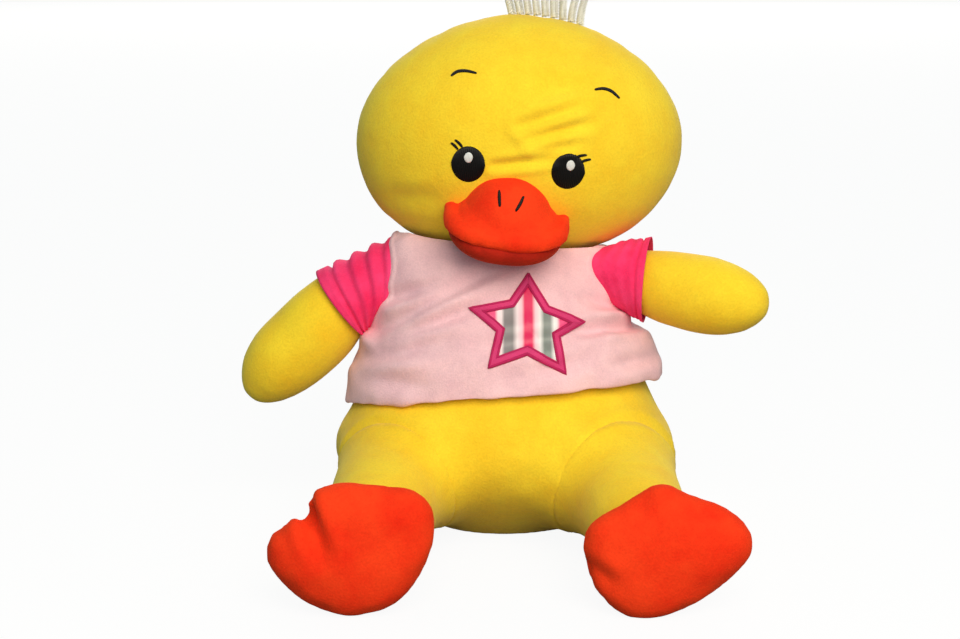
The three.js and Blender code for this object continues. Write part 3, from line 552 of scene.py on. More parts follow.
band_bm = ring(NECKBAND_HALF[0], NECKBAND_THICK, NECKBAND_LEVEL, 12, 96)
bmesh.ops.scale(band_bm, vec=(1, NECKBAND_HALF[1] / NECKBAND_HALF[0], 1), verts=band_bm.verts)
bmesh.ops.rotate(
    band_bm, verts=band_bm.verts, cent=(0, 0, NECKBAND_LEVEL), matrix=Matrix.Rotation(-NECKBAND_TILT, 3, "Y")
)
bmesh.ops.transform(band_bm, matrix=torso, verts=band_bm.verts)
neckband = piece("neckband", band_bm)
for v in neckband.data.vertices:
    v.co = out_of_head(v.co)
neckband.data.materials.append(plush("neckband_rib", BAND_PINK_IN_SHADE, BAND_NAP_IN_SHADE, BAND_SHEEN, pile=500, nap_size=90))
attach(neckband, "torso")
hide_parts("shirt_neckband")

# Star
# A star of striped satin on the shirt front, edged with a raised satin-stitched border in hot pink thread.
# Two lines of darker stitches run along the border's edges.
STAR_TIPS = ((0.0170, 0.1959), (0.0582, 0.1607), (0.0438, 0.1230), (-0.0124, 0.1277), (-0.0264, 0.1707))
STAR_HOLLOWS = ((0.0317, 0.1714), (0.0397, 0.1500), (0.0157, 0.1371), (-0.0064, 0.1539), (0.0033, 0.1760))
STAR_MIDDLE = Vector((0.0165, 0.1575))
STAR_BORDER = 0.0046
STAR_UNDER_BORDER = 0.7
STAR_SATIN = 0.0007
BORDER_CROWN = 0.0014
STITCH_CROWN = 0.0016
STITCH_WIDE = 0.0009
STITCH_INSETS = {"star_outer_stitches": -0.0004, "star_inner_stitches": 0.0039}
SIDE_STEPS = 12
STRIPES = (
    (-0.0300, (236, 62, 124)), (-0.0080, (238, 66, 128)), (-0.0058, (247, 222, 226)),
    (-0.0032, (244, 226, 230)), (-0.0010, (138, 132, 134)), (0.0050, (132, 128, 128)),
    (0.0085, (240, 222, 226)), (0.0120, (246, 196, 208)), (0.0140, (224, 28, 92)),
    (0.0195, (224, 28, 92)), (0.0220, (246, 204, 214)), (0.0255, (236, 232, 232)),
    (0.0285, (128, 136, 130)), (0.0330, (134, 140, 136)), (0.0360, (244, 240, 240)),
    (0.0380, (248, 226, 230)), (0.0402, (238, 70, 130)), (0.0600, (236, 62, 124)),
)
BORDER_PINK = (244, 78, 140)
BORDER_SHADE = (228, 58, 120)
STITCH_PINK = (216, 48, 110)
STITCH_SHADE = (188, 32, 90)


def on_skin(tree, facing, flat, rise=0.0):
    """The point of a skin straight behind a point (x, z) of a frame that faces -Y, lifted off it by rise."""
    start = facing @ Vector((flat.x, -0.4, flat.y))
    place, normal, _, _ = tree.ray_cast(start, facing.to_3x3() @ Vector((0, 1, 0)))
    return place + normal * rise


def threads(name, colour, shaded, count, gloss=0.42):
    """Rayon thread side by side: ridges across the piece's U direction, painted shade in the grooves, a soft
    gloss.
    """
    thread = bpy.data.materials.new(name)
    thread.use_nodes = True
    nodes, links = thread.node_tree.nodes, thread.node_tree.links
    shader = nodes["Principled BSDF"]
    shader.inputs["Roughness"].default_value = gloss
    shader.inputs["Specular IOR Level"].default_value = 0.18
    lay = nodes.new("ShaderNodeUVMap")
    lay.uv_map = "lay"
    ridges = nodes.new("ShaderNodeTexWave")
    ridges.inputs["Scale"].default_value = count / math.pi
    ridges.inputs["Distortion"].default_value = 0.6
    ridges.inputs["Detail"].default_value = 1
    # Painted shade: the thread's colour darkens to the shaded one in the grooves between the ridges.
    tone = nodes.new("ShaderNodeValToRGB")
    tone.color_ramp.elements[0].color = dye(*shaded)
    tone.color_ramp.elements[1].color = dye(*colour)
    tone.color_ramp.elements[1].position = 0.55
    relief = nodes.new("ShaderNodeBump")
    relief.inputs["Strength"].default_value = 0.6
    relief.inputs["Distance"].default_value = 0.0005
    links.new(lay.outputs["UV"], ridges.inputs["Vector"])
    links.new(ridges.outputs["Fac"], tone.inputs["Fac"])
    links.new(ridges.outputs["Fac"], relief.inputs["Height"])
    links.new(tone.outputs["Color"], shader.inputs["Base Color"])
    links.new(relief.outputs["Normal"], shader.inputs["Normal"])
    return thread


def satin(name, low_rail, high_rail, crown, tree, facing, across=8):
    """Satin stitch from one rail to the other, raised along its middle, on a skin facing the frame's -Y."""
    bm = bmesh.new()
    bm.loops.layers.uv.new("lay")
    steps = len(low_rail) - 1
    bmesh.ops.create_grid(bm, x_segments=steps, y_segments=across, size=1, calc_uvs=True)
    for v in bm.verts:
        station = round((v.co.x + 1) / 2 * steps)
        share = (v.co.y + 1) / 2
        flat = low_rail[station].lerp(high_rail[station], share)
        rise = crown * math.sqrt(max(0.0, 1 - (2 * share - 1) ** 2))
        v.co = on_skin(tree, facing, flat, rise - 0.0002)
    patch = piece(name, bm)
    thicken(patch, 0.0008)
    return patch


def star_outline(border, steps):
    """The star as points round it, moved in from its edge by border, with each side divided into steps."""
    corners = [Vector(corner) for pair in zip(STAR_TIPS, STAR_HOLLOWS) for corner in pair]
    sides = []
    for a, b in zip(corners, corners[1:] + corners[:1]):
        inward = Vector((b.y - a.y, a.x - b.x)).normalized() * border
        sides.append((a + inward, b + inward))
    outline = []
    for i, (a, b) in enumerate(sides):
        c, d = sides[i - 1]
        cross = (b - a).cross(d - c)
        corner = c + (d - c) * ((a - c).cross(b - a) / (d - c).cross(b - a)) if abs(cross) > 1e-12 else a
        outline.append(corner)
    points = []
    for a, b in zip(outline, outline[1:] + outline[:1]):
        points += [a.lerp(b, step / steps) for step in range(steps)]
    return points + points[:1]


shirt_skin = skin_of(shirt)
star_bm = bmesh.new()
inner_edge = star_outline(STAR_BORDER * STAR_UNDER_BORDER, SIDE_STEPS // 2)
rim = [star_bm.verts.new((point.x, 0, point.y)) for point in inner_edge[:-1]]
hub = star_bm.verts.new((STAR_MIDDLE.x, 0, STAR_MIDDLE.y))
for a, b in zip(rim, rim[1:] + rim[:1]):
    star_bm.faces.new((hub, b, a))
bmesh.ops.subdivide_edges(star_bm, edges=star_bm.edges, cuts=5, use_grid_fill=True)
for v in star_bm.verts:
    v.co = on_skin(shirt_skin, torso, Vector((v.co.x, v.co.z)), STAR_SATIN)
bmesh.ops.recalc_face_normals(star_bm, faces=star_bm.faces)
star_patch = piece("star_of_satin", star_bm)
thicken(star_patch, STAR_SATIN)
star_satin = bpy.data.materials.new("striped_satin")
star_satin.use_nodes = True
nodes, links = star_satin.node_tree.nodes, star_satin.node_tree.links
shader = nodes["Principled BSDF"]
shader.inputs["Roughness"].default_value = 0.36
shader.inputs["Specular IOR Level"].default_value = 0.4
shader.inputs["Anisotropic"].default_value = 0.5
place = nodes.new("ShaderNodeTexCoord")
split = nodes.new("ShaderNodeSeparateXYZ")
reach = nodes.new("ShaderNodeMapRange")
reach.inputs["From Min"].default_value = STRIPES[0][0]
reach.inputs["From Max"].default_value = STRIPES[-1][0]
stripes = nodes.new("ShaderNodeValToRGB")
for _ in STRIPES[2:]:
    stripes.color_ramp.elements.new(0.5)
for stop, (x, colour) in zip(stripes.color_ramp.elements, STRIPES):
    stop.position = (x - STRIPES[0][0]) / (STRIPES[-1][0] - STRIPES[0][0])
    stop.color = dye(*colour)
weave = nodes.new("ShaderNodeTexWave")
weave.inputs["Scale"].default_value = 420
weave.inputs["Distortion"].default_value = 1.5
relief = nodes.new("ShaderNodeBump")
relief.inputs["Strength"].default_value = 0.18
relief.inputs["Distance"].default_value = 0.0003
links.new(place.outputs["Object"], split.inputs[0])
links.new(split.outputs["X"], reach.inputs["Value"])
links.new(reach.outputs["Result"], stripes.inputs["Fac"])
links.new(stripes.outputs["Color"], shader.inputs["Base Color"])
links.new(place.outputs["Object"], weave.inputs["Vector"])
links.new(weave.outputs["Fac"], relief.inputs["Height"])
links.new(relief.outputs["Normal"], shader.inputs["Normal"])
star_patch.data.materials.append(star_satin)
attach(star_patch, "torso")
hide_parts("star_patch")

rails = star_outline(0, SIDE_STEPS), star_outline(STAR_BORDER, SIDE_STEPS)
border = satin("star_edging", *rails, BORDER_CROWN, shirt_skin, torso, across=6)
border.data.materials.append(threads("star_border_thread", BORDER_PINK, BORDER_SHADE, 420))
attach(border, "torso")
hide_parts("star_border")
edge_thread = threads("star_edge_thread", STITCH_PINK, STITCH_SHADE, 520)
for name, inset in STITCH_INSETS.items():
    rails = star_outline(inset, SIDE_STEPS), star_outline(inset + STITCH_WIDE, SIDE_STEPS)
    line = satin(name, *rails, STITCH_CROWN, shirt_skin, torso, across=4)
    line.data.materials.append(edge_thread)
    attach(line, "torso")

# Neck thread
# A strong yellow thread that gathers the seam between the body and the head, pulled up into a ring.
# The head hides it.
NECK_RING = 0.038
NECK_THREAD = 0.002
THREAD_YELLOW = (236, 196, 40)
THREAD_SHADE = (190, 150, 24)
neck_place = Vector(joints["neck_turn"]["pos_m"])
neck_axis = Vector(joints["neck_turn"]["axis"])
ring_bm = ring(NECK_RING, NECK_THREAD, NECK_THREAD, 10, 64)
neck_lean = Vector((0, 0, 1)).rotation_difference(neck_axis).to_matrix().to_4x4()
bmesh.ops.transform(ring_bm, matrix=Matrix.Translation(neck_place) @ neck_lean, verts=ring_bm.verts)
neck_ring = piece("neck_ring", ring_bm)
neck_ring.data.materials.append(plush("neck_thread", THREAD_YELLOW, THREAD_SHADE, YELLOW_SHEEN, pile=900))
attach(neck_ring, "neck")
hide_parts("neck_thread")

# Head
# A wide, round bag of the same yellow plush, front and back panels sewn over the crown and stuffed full.
# It leans to its right shoulder and hangs down a little on the left, and pulled stitches leave slanting folds
# between the eyes and over the bill.
HEAD_SWELL = 0.0035
HEAD_SEAM_BACK = 0.014
HEAD_SEAM = 0.0035
HEAD_LUMPS = (0.0012, 18)
FINE_CLOTH = 0.0042
FACE_ROLL = math.radians(6.5)
FACE_FOLDS = (
    ((-0.002, 0.0180), (0.044, 0.0385), 0.0040, 0.0034), ((0.006, 0.0110), (0.048, 0.0255), 0.0042, 0.0036),
    ((-0.018, -0.0125), (0.026, -0.0020), 0.0032, 0.0030), ((0.012, 0.0020), (0.044, 0.0120), 0.0036, 0.0020),
    ((0.010, 0.0440), (0.052, 0.0510), 0.0060, 0.0018), ((-0.088, -0.050), (-0.056, -0.042), 0.0070, 0.0016),
)
face = Matrix.Translation(head_centre) @ Matrix.Rotation(FACE_ROLL, 4, "Y")
to_face = face.inverted()
head_bm = bmesh.new()
bmesh.ops.create_icosphere(head_bm, subdivisions=5, radius=1)
bmesh.ops.scale(head_bm, vec=HEAD_HALF - Vector((HEAD_SWELL,) * 3), verts=head_bm.verts)
for v in head_bm.verts:
    v.co.z -= droop(v.co.x)
bmesh.ops.transform(head_bm, matrix=head_form, verts=head_bm.verts)
head = stuffed(
    "stuffed_head", head_bm, FINE_CLOTH, BAG_PRESSURE, HEAD_SWELL,
    lambda place: abs(place.y - head_centre.y - HEAD_SEAM_BACK) < HEAD_SEAM,
)


def face_folds(place):
    """The unevenness of the head, and on its front the folds of the face."""
    local = to_face @ place
    uneven = lumps(place, *HEAD_LUMPS)
    if local.y > 0:
        return uneven
    flat = Vector((local.x, local.z))
    return uneven - sum(depth * fold(flat, a, b, width) for a, b, width, depth in FACE_FOLDS)


press(head, face_folds)
head.data.materials.append(yellow_plush)
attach(head, "head")
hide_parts("head_front", "head_back", "head_stuffing")

# Bill
# A padded pouch of orange-red plush, sewn flat to the face: a domed bridge that spreads into a broad lip,
# with the corners of the mouth turned up. The lower bill is a thin lip sewn under it, in a darker orange
# that is painted shade, for the shadow the pouch casts on it.
BILL_PITCH = math.radians(13)
MOUTH = Vector((-0.004, -0.0774, -0.060))
BILL_HALF = 0.046
BILL_CURL = 0.0055
BILL_LIP = (0.0475, 0.0455, 0.0180, 3.2)
BILL_BRIDGE = (0.0345, 0.0430, 0.0430, 2.0)
LOWER_BILL = (0.0435, 0.0440, 0.0205, 2.8)
MOUTH_FLAT = 0.12
BILL_CLOTH = 0.0026
BILL_PRESSURE = 3.0
BILL_SWELL = 0.0008
LIP_SWELL = 0.0006
RIM_DEPTH = 0.0022
RIM_PLACE = 0.80
RIM_WIDE = 0.06
BILL_LUMPS = (0.0007, 50)
ORANGE = (255, 64, 24)
ORANGE_NAP = (240, 42, 14)
ORANGE_SHEEN = (255, 140, 70)
# The lower bill's darker orange is painted shade, for the shadow under the pouch.
LIP_IN_SHADE = (190, 38, 22)
LIP_NAP_IN_SHADE = (156, 26, 16)
bill = face @ Matrix.Translation(MOUTH) @ Matrix.Rotation(BILL_PITCH, 4, "X")
to_bill = bill.inverted()


def bill_pads(sizes, above):
    """Rounded pads in the bill's frame, flattened on the side of the mouth and curled up at its corners."""
    bm = bmesh.new()
    for half, reach, height, square in sizes:
        pad = bmesh.ops.create_uvsphere(bm, u_segments=48, v_segments=24, radius=1)["verts"]
        for v in pad:
            round_edge = math.hypot(v.co.x, v.co.y)
            square_edge = (abs(v.co.x) ** square + abs(v.co.y) ** square) ** (1 / square)
            fuller = round_edge / square_edge if square_edge > 1e-6 else 1.0
            level = math.copysign(abs(v.co.z) ** (2 / square), v.co.z)
            v.co = Vector((v.co.x * fuller * half, v.co.y * fuller * reach, level * height))
    for v in bm.verts:
        if (v.co.z > 0) != above:
            v.co.z *= MOUTH_FLAT
        v.co.z += BILL_CURL * (v.co.x / BILL_HALF) ** 2
    bmesh.ops.transform(bm, matrix=bill, verts=bm.verts)
    return bm


def bill_rim(place):
    """The stitched groove inside the turned-up sides of the bill."""
    local = to_bill @ place
    half, reach, _, square = BILL_LIP
    edge = (abs(local.x / half) ** square + abs(local.y / reach) ** square) ** (1 / square)
    side = unit((abs(local.x) / BILL_HALF - 0.45) / 0.3)
    return lumps(place, *BILL_LUMPS) - RIM_DEPTH * side * math.exp(-(((edge - RIM_PLACE) / RIM_WIDE) ** 2))


pouch_bm = bill_pads((BILL_LIP, BILL_BRIDGE), True)
bill_upper = stuffed("bill_pouch", pouch_bm, BILL_CLOTH, BILL_PRESSURE, BILL_SWELL)
press(bill_upper, bill_rim)
orange_plush = plush("orange_plush", ORANGE, ORANGE_NAP, ORANGE_SHEEN)
bill_upper.data.materials.append(orange_plush)
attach(bill_upper, "head")
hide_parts("bill_upper", "bill_padding")
bill_lower = stuffed("bill_lip", bill_pads((LOWER_BILL,), False), BILL_CLOTH, BILL_PRESSURE, LIP_SWELL)
bill_lower.data.materials.append(plush("lip_plush", LIP_IN_SHADE, LIP_NAP_IN_SHADE, ORANGE_SHEEN))
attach(bill_lower, "head")
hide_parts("bill_lower")

# Embroidered face
# Eyes, lashes, brows and nostrils in black rayon thread and a white highlight in each eye, satin-stitched
# through the skins of the head and the bill. Named for the duck's own left, which is on +X.
EYE_HALF = (0.0123, 0.0138)
EYES = {"right": Vector((-0.0369, -0.0140)), "left": Vector((0.0361, -0.0108))}
HIGHLIGHT_HALF = (0.0031, 0.0042)
HIGHLIGHTS = {"right": Vector((-0.0373, -0.0088)), "left": Vector((0.0373, -0.0062))}
STROKES = {
    "right_lash_lower": (((-0.0455, -0.0042), (-0.0482, -0.0018), (-0.0512, -0.0001)), 0.0024, "head"),
    "right_lash_upper": (((-0.0425, -0.0020), (-0.0452, 0.0004), (-0.0485, 0.0025)), 0.0024, "head"),
    "left_lash_upper": (((0.0405, -0.0001), (0.0440, 0.0014), (0.0484, 0.0023)), 0.0024, "head"),
    "left_lash_lower": (((0.0440, -0.0036), (0.0478, -0.0018), (0.0518, -0.0006)), 0.0024, "head"),
    "right_brow": (
        ((-0.0565, 0.0466), (-0.0525, 0.0502), (-0.0462, 0.0517), (-0.0380, 0.0512)), 0.0026, "head",
    ),
    "left_brow": (
        ((0.0490, 0.0490), (0.0555, 0.0503), (0.0620, 0.0489), (0.0686, 0.0443)), 0.0026, "head",
    ),
    "right_nostril": (((-0.0126, -0.0284), (-0.0119, -0.0338), (-0.0110, -0.0390)), 0.0027, "bill"),
    "left_nostril": (((0.0054, -0.0305), (0.0032, -0.0360), (0.0006, -0.0408)), 0.0027, "bill"),
}
BLACK = (13, 12, 13)
BLACK_SHADE = (3, 3, 3)
WHITE = (246, 246, 244)
WHITE_SHADE = (206, 206, 208)
EYE_CROWN = 0.0016
HIGHLIGHT_CROWN = 0.0009
STROKE_CROWN = 0.0010
head_skin = skin_of(head)
bill_skin = skin_of(bill_upper)
black_thread = threads("black_thread", BLACK, BLACK_SHADE, 26, gloss=0.4)
fine_black_thread = threads("fine_black_thread", BLACK, BLACK_SHADE, 12, gloss=0.45)
white_thread = threads("white_thread", WHITE, WHITE_SHADE, 10)


def oval_rails(middle, half, steps):
    """The lower and the upper edge of an oval, from its -X end to its +X end."""
    turns = [math.pi * (1 - step / steps) for step in range(steps + 1)]
    low = [middle + Vector((half[0] * math.cos(t), -half[1] * math.sin(t))) for t in turns]
    high = [middle + Vector((half[0] * math.cos(t), half[1] * math.sin(t))) for t in turns]
    return low, high


def stroke_rails(points, width, steps):
    """The two edges of a line of stitches that thins to both ends."""
    line = [point.to_2d() for point in smooth_line(points, steps)]
    if line[-1].x < line[0].x:
        line.reverse()
    low, high = [], []
    for i, point in enumerate(line):
        run = (line[min(i + 1, len(line) - 1)] - line[max(i - 1, 0)]).normalized()
        share = i / (len(line) - 1)
        half = width / 2 * (0.35 + 0.65 * math.sin(math.pi * share) ** 0.4)
        beside = Vector((-run.y, run.x)) * half
        low.append(point - beside)
        high.append(point + beside)
    return low, high


for side, middle in EYES.items():
    eye = satin(f"eye_{side}", *oval_rails(middle, EYE_HALF, 28), EYE_CROWN, head_skin, face, across=20)
    eye.data.materials.append(black_thread)
    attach(eye, "head")
    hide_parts(f"{side}_eye")
    eye_skin = skin_of(eye)
    rails = oval_rails(HIGHLIGHTS[side], HIGHLIGHT_HALF, 14)
    highlight = satin(f"highlight_{side}", *rails, HIGHLIGHT_CROWN, eye_skin, face, across=10)
    highlight.data.materials.append(white_thread)
    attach(highlight, "head")
    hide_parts(f"{side}_eye_highlight")
for name, (points, width, carrier) in STROKES.items():
    skin = bill_skin if carrier == "bill" else head_skin
    stitches = satin(f"{name}_stitches", *stroke_rails(points, width, 8), STROKE_CROWN, skin, face, across=6)
    stitches.data.materials.append(fine_black_thread)
    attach(stitches, "head")
    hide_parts(name)

# Yarn tuft
# Strands of white two-ply yarn, sewn through the crown in three short rows.
# They stand up and spread, each a little differently.
TUFT_SIDE = 0.030
TUFT_BACK = 0.010
TUFT_SPAN = 0.054
TUFT_ROWS = (-0.006, 0.0, 0.006)
TUFT_COUNT = 9
TUFT_SUNK = 0.002
STRAND_LENGTH = 0.036
STRAND_TURNS = 8
PLY = 0.0011
PLY_SLOPE = math.radians(62)
YARN_WHITE = (255, 255, 252)
YARN_SHADE = (230, 230, 224)
YARN_SHEEN = (255, 255, 255)


def strand(length, turns):
    """Two plies twisted round each other, standing on the origin."""
    bm = bmesh.new()
    for start in (0, math.pi):
        section = bmesh.ops.create_circle(bm, segments=6, radius=PLY)["verts"]
        edges = list({e for v in section for e in v.link_edges})
        bmesh.ops.rotate(bm, verts=section, matrix=Matrix.Rotation(PLY_SLOPE, 3, "X"))
        bmesh.ops.translate(bm, verts=section, vec=(PLY * 0.9, 0, 0))
        bmesh.ops.rotate(bm, verts=section, cent=(0, 0, 0), matrix=Matrix.Rotation(start, 3, "Z"))
        steps = round(turns * 10)
        bmesh.ops.spin(
            bm, geom=section + edges, axis=(0, 0, 1), cent=(0, 0, 0), dvec=(0, 0, length / steps),
            angle=math.tau * turns, steps=steps,
        )
    bmesh.ops.holes_fill(bm, edges=[e for e in bm.edges if e.is_boundary], sides=12)
    bmesh.ops.recalc_face_normals(bm, faces=bm.faces)
    return bm


tuft_bm = bmesh.new()
for row_number, row in enumerate(TUFT_ROWS):
    for i in range(TUFT_COUNT):
        share = 2 * (i + 0.35 * (row_number % 2)) / (TUFT_COUNT - 0.65) - 1
        seed = Vector((i * 1.7, row_number * 2.3, 0.5))
        foot_x = TUFT_SIDE + share * TUFT_SPAN / 2
        foot_y = TUFT_BACK + row
        crown = math.sqrt(1 - (foot_x / HEAD_HALF.x) ** 2 - (foot_y / HEAD_HALF.y) ** 2)
        height = HEAD_HALF.z * crown - droop(foot_x) - TUFT_SUNK
        one = strand(STRAND_LENGTH * (0.97 + 0.08 * noise.noise(seed)), STRAND_TURNS)
        lean = 0.003 + 0.012 * share + 0.006 * noise.noise(seed + Vector((0, 0, 7)))
        sway = 0.006 * noise.noise(seed + Vector((0, 0, 13))) + 0.35 * row
        for v in one.verts:
            rise = v.co.z / STRAND_LENGTH
            bend = 0.35 * rise + 0.85 * rise ** 2
            v.co += Vector((foot_x + lean * bend, foot_y + sway * rise, height))
        strand_mesh = bpy.data.meshes.new("strand")
        one.to_mesh(strand_mesh)
        one.free()
        tuft_bm.from_mesh(strand_mesh)
        bpy.data.meshes.remove(strand_mesh)
bmesh.ops.transform(tuft_bm, matrix=head_form, verts=tuft_bm.verts)
tuft = piece("tuft_of_yarn", tuft_bm)
tuft.data.materials.append(plush("white_yarn", YARN_WHITE, YARN_SHADE, YARN_SHEEN, pile=1500, nap_size=160))
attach(tuft, "head")
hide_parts("yarn_tuft")

# Arms
# Plain stuffed tubes of yellow plush, a little fuller towards the rounded end, sewn into the armholes.
ARMS = {
    "left": (
        ((0.0720, 0.0240, 0.1960), 0.0), ((0.0728, 0.0234, 0.1960), 0.0140),
        ((0.0790, 0.0200, 0.1960), 0.0180), ((0.0930, 0.0120, 0.1950), 0.0200),
        ((0.1080, 0.0035, 0.1928), 0.0242), ((0.1240, -0.0060, 0.1898), 0.0276),
        ((0.1420, -0.0166, 0.1874), 0.0290), ((0.1590, -0.0267, 0.1862), 0.0286),
        ((0.1750, -0.0362, 0.1850), 0.0240), ((0.1860, -0.0428, 0.1844), 0.0165),
        ((0.1925, -0.0467, 0.1842), 0.0090), ((0.1948, -0.0480, 0.1842), 0.0),
    ),
    "right": (
        ((-0.0800, 0.0200, 0.1905), 0.0), ((-0.0810, 0.0200, 0.1902), 0.0160),
        ((-0.0890, 0.0198, 0.1885), 0.0220), ((-0.1070, 0.0190, 0.1830), 0.0238),
        ((-0.1250, 0.0180, 0.1725), 0.0270), ((-0.1410, 0.0180, 0.1570), 0.0305),
        ((-0.1570, 0.0180, 0.1407), 0.0308), ((-0.1720, 0.0180, 0.1272), 0.0295),
        ((-0.1840, 0.0180, 0.1155), 0.0250), ((-0.1930, 0.0180, 0.1062), 0.0175),
        ((-0.1985, 0.0180, 0.1008), 0.0095), ((-0.2002, 0.0180, 0.0990), 0.0),
    ),
}
ARM_ROUND = 40
ARM_SWELL = 0.002
ARM_LUMPS = (0.0010, 30)
ARM_FACES = {"left": Vector((0.975, -0.20, -0.06)), "right": Vector((-0.79, 0.0, -0.61))}


def tube(stations, steps, around):
    """A closed tube whose middle and radius pass smoothly through stations of (place, radius)."""
    path = smooth_line([place for place, _ in stations], steps)
    radii = smooth_line([(radius, 0, 0) for _, radius in stations], steps)

    def wall(turn, share):
        i = round(share * (len(path) - 1))
        run = (path[min(i + 2, len(path) - 1)] - path[max(i - 2, 0)]).normalized()
        level = Vector((0, 0, 1)).cross(run).normalized()
        return path[i] + (level * math.cos(turn) + run.cross(level) * math.sin(turn)) * radii[i].x

    return wrapped(around, len(path) - 1, wall)


for side, stations in ARMS.items():
    arm = stuffed(f"arm_{side}", tube(stations, 5, ARM_ROUND), FINE_CLOTH, BAG_PRESSURE, ARM_SWELL)
    press(arm, lambda place: lumps(place, *ARM_LUMPS))
    arm.data.materials.append(yellow_plush)
    run = ARM_FACES[side].normalized()
    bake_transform(arm)
    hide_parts(f"{side}_arm_skin", f"{side}_arm_stuffing")

# Sleeves
# Short sleeves of hot pink velour, sewn into the armholes of the shirt and pushed up the arm so that they
# gather in rings, with a turned and stitched cuff that holds the arm.
SLEEVES = {
    "left": {
        "armhole": (0.0150, 0.1990), "half": (0.0330, 0.0325), "puff": 0.0025, "rings": 0.0005,
        "cuff": Vector((0.1095, 0.0022, 0.1938)), "opening": (0.0320, 0.0322), "flat": (0.22, 0.031),
    },
    "right": {
        "armhole": (0.0230, 0.1895), "half": (0.0360, 0.0370), "puff": 0.0002, "rings": 0.0021,
        "cuff": Vector((-0.1262, 0.0180, 0.1716)), "opening": (0.0318, 0.0316), "flat": (0.24, 0.041),
    },
}
GATHERS = 4.5
SLEEVE_ROUND = 150
SLEEVE_LONG = 32
SLEEVE_CLOTH = 0.0014
CUFF_GROOVE = 0.78
CUFF_BEGINS = 0.84
CUFF_TURNS = 0.97
SEAM_UNDER = 0.001
RIDGE_HIGH = 0.0013
RIDGE_AWAY = 0.0018
RIDGE_WIDE = 0.0016
SLEEVE_PINK = (255, 70, 128)
SLEEVE_NAP = (238, 36, 92)
SLEEVE_SHEEN = (255, 130, 170)
sleeve_velour = plush("sleeve_velour", SLEEVE_PINK, SLEEVE_NAP, SLEEVE_SHEEN, pile=800, nap_size=24)


def seam_ridge(seam):
    """The turned edge of the shirt that stands up along an armhole."""
    line = KDTree(len(seam))
    for i, point in enumerate(seam):
        line.insert(point, i)
    line.balance()
    return lambda place: RIDGE_HIGH * math.exp(-(((line.find(place)[2] - RIDGE_AWAY) / RIDGE_WIDE) ** 2))


for side, cut in SLEEVES.items():
    sign = 1 if side == "left" else -1
    run = ARM_FACES[side].normalized()
    level = Vector((0, 0, 1)).cross(run).normalized() * sign
    over = run.cross(level) * sign

    def armhole(turn):
        """The point of the armhole seam at a turn round the arm, just under the cloth of the shirt's side."""
        y = cut["armhole"][0] + math.cos(turn) * cut["half"][0]
        z = cut["armhole"][1] + math.sin(turn) * cut["half"][1]
        place, normal, _, _ = shirt_skin.ray_cast(Vector((sign * 0.3, y, z)), Vector((-sign, 0, 0)), 0.25)
        if not place:
            place, normal, _, _ = shirt_skin.find_nearest(Vector((sign * 0.09, y, z)))
        return place - normal * SEAM_UNDER

    seam = [armhole(math.tau * step / SLEEVE_ROUND) for step in range(SLEEVE_ROUND)]
    for _ in range(2):
        near = [[seam[(i + n) % SLEEVE_ROUND] for n in range(-7, 8)] for i in range(SLEEVE_ROUND)]
        seam = [sum(points, Vector()) / len(points) for points in near]
    press(shirt, seam_ridge(seam))

    def sleeve_shape(turn, share):
        """From the armhole to the cuff: gathers that bunch up most over the arm, and a turned-up cuff."""
        upper = max(0.0, math.sin(turn)) ** 0.5
        puff = cut["puff"] * math.sin(math.pi * min(1.0, share * 1.2)) * (0.3 + 0.7 * upper)
        bunch = math.sin(math.tau * GATHERS * share + 0.5 * math.sin(2 * turn)) * min(1.0, 6 * share)
        gather = cut["rings"] * bunch * (0.45 + 0.55 * upper) if share < CUFF_BEGINS else 0.0
        cuff = 0.0010 if share > CUFF_BEGINS else -0.0008 if share > CUFF_GROOVE else 0.0
        tuck = -0.0012 if share > CUFF_TURNS else 0.0
        spoke = level * math.cos(turn) + over * math.sin(turn)
        wide, high = cut["opening"]
        end = cut["cuff"] + level * math.cos(turn) * wide + over * math.sin(turn) * high
        along = min(1.0, share / CUFF_TURNS)
        start = seam[round(turn / math.tau * SLEEVE_ROUND) % SLEEVE_ROUND]
        return start.lerp(end, along) + spoke * (puff + gather + cuff + tuck)

    sleeve = piece(f"sleeve_{side}", wrapped(SLEEVE_ROUND, SLEEVE_LONG, sleeve_shape))
    thicken(sleeve, SLEEVE_CLOTH)
    sleeve.data.materials.append(sleeve_velour)
    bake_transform(sleeve)
    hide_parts(f"{side}_sleeve")

# Legs
# Stuffed tubes of yellow plush that come out of the front of the body and end inside the feet.
# They are sewn into the lower belly, and each thigh runs into it in a soft hollow.
LEG_OUTLINE = (
    (0.0, -0.034), (0.026, -0.031), (0.0375, -0.018), (0.0415, 0.004), (0.0400, 0.034), (0.0370, 0.066),
    (0.0335, 0.098), (0.0290, 0.117), (0.0180, 0.126), (0.0, 0.128),
)
LEG_ROUND = 40
LEG_SWELL = 0.002
LEG_LOWEST = 0.001
HIP_HOLLOW = {"left": 0.044, "right": 0.034}


def drawn_out(obj, other, reach):
    """Draw a skin out towards one that it is sewn to, so that the two meet in a soft hollow."""
    moves = []
    for v in obj.data.vertices:
        _, facing, _, away = other.find_nearest(v.co, reach)
        if away is not None:
            lift = (math.sqrt(reach) - math.sqrt(max(away, reach / 4))) ** 2
            moves.append((v, v.normal * lift * unit(1.2 - v.normal.dot(facing))))
    for v, move in moves:
        v.co += move
    obj.data.update()


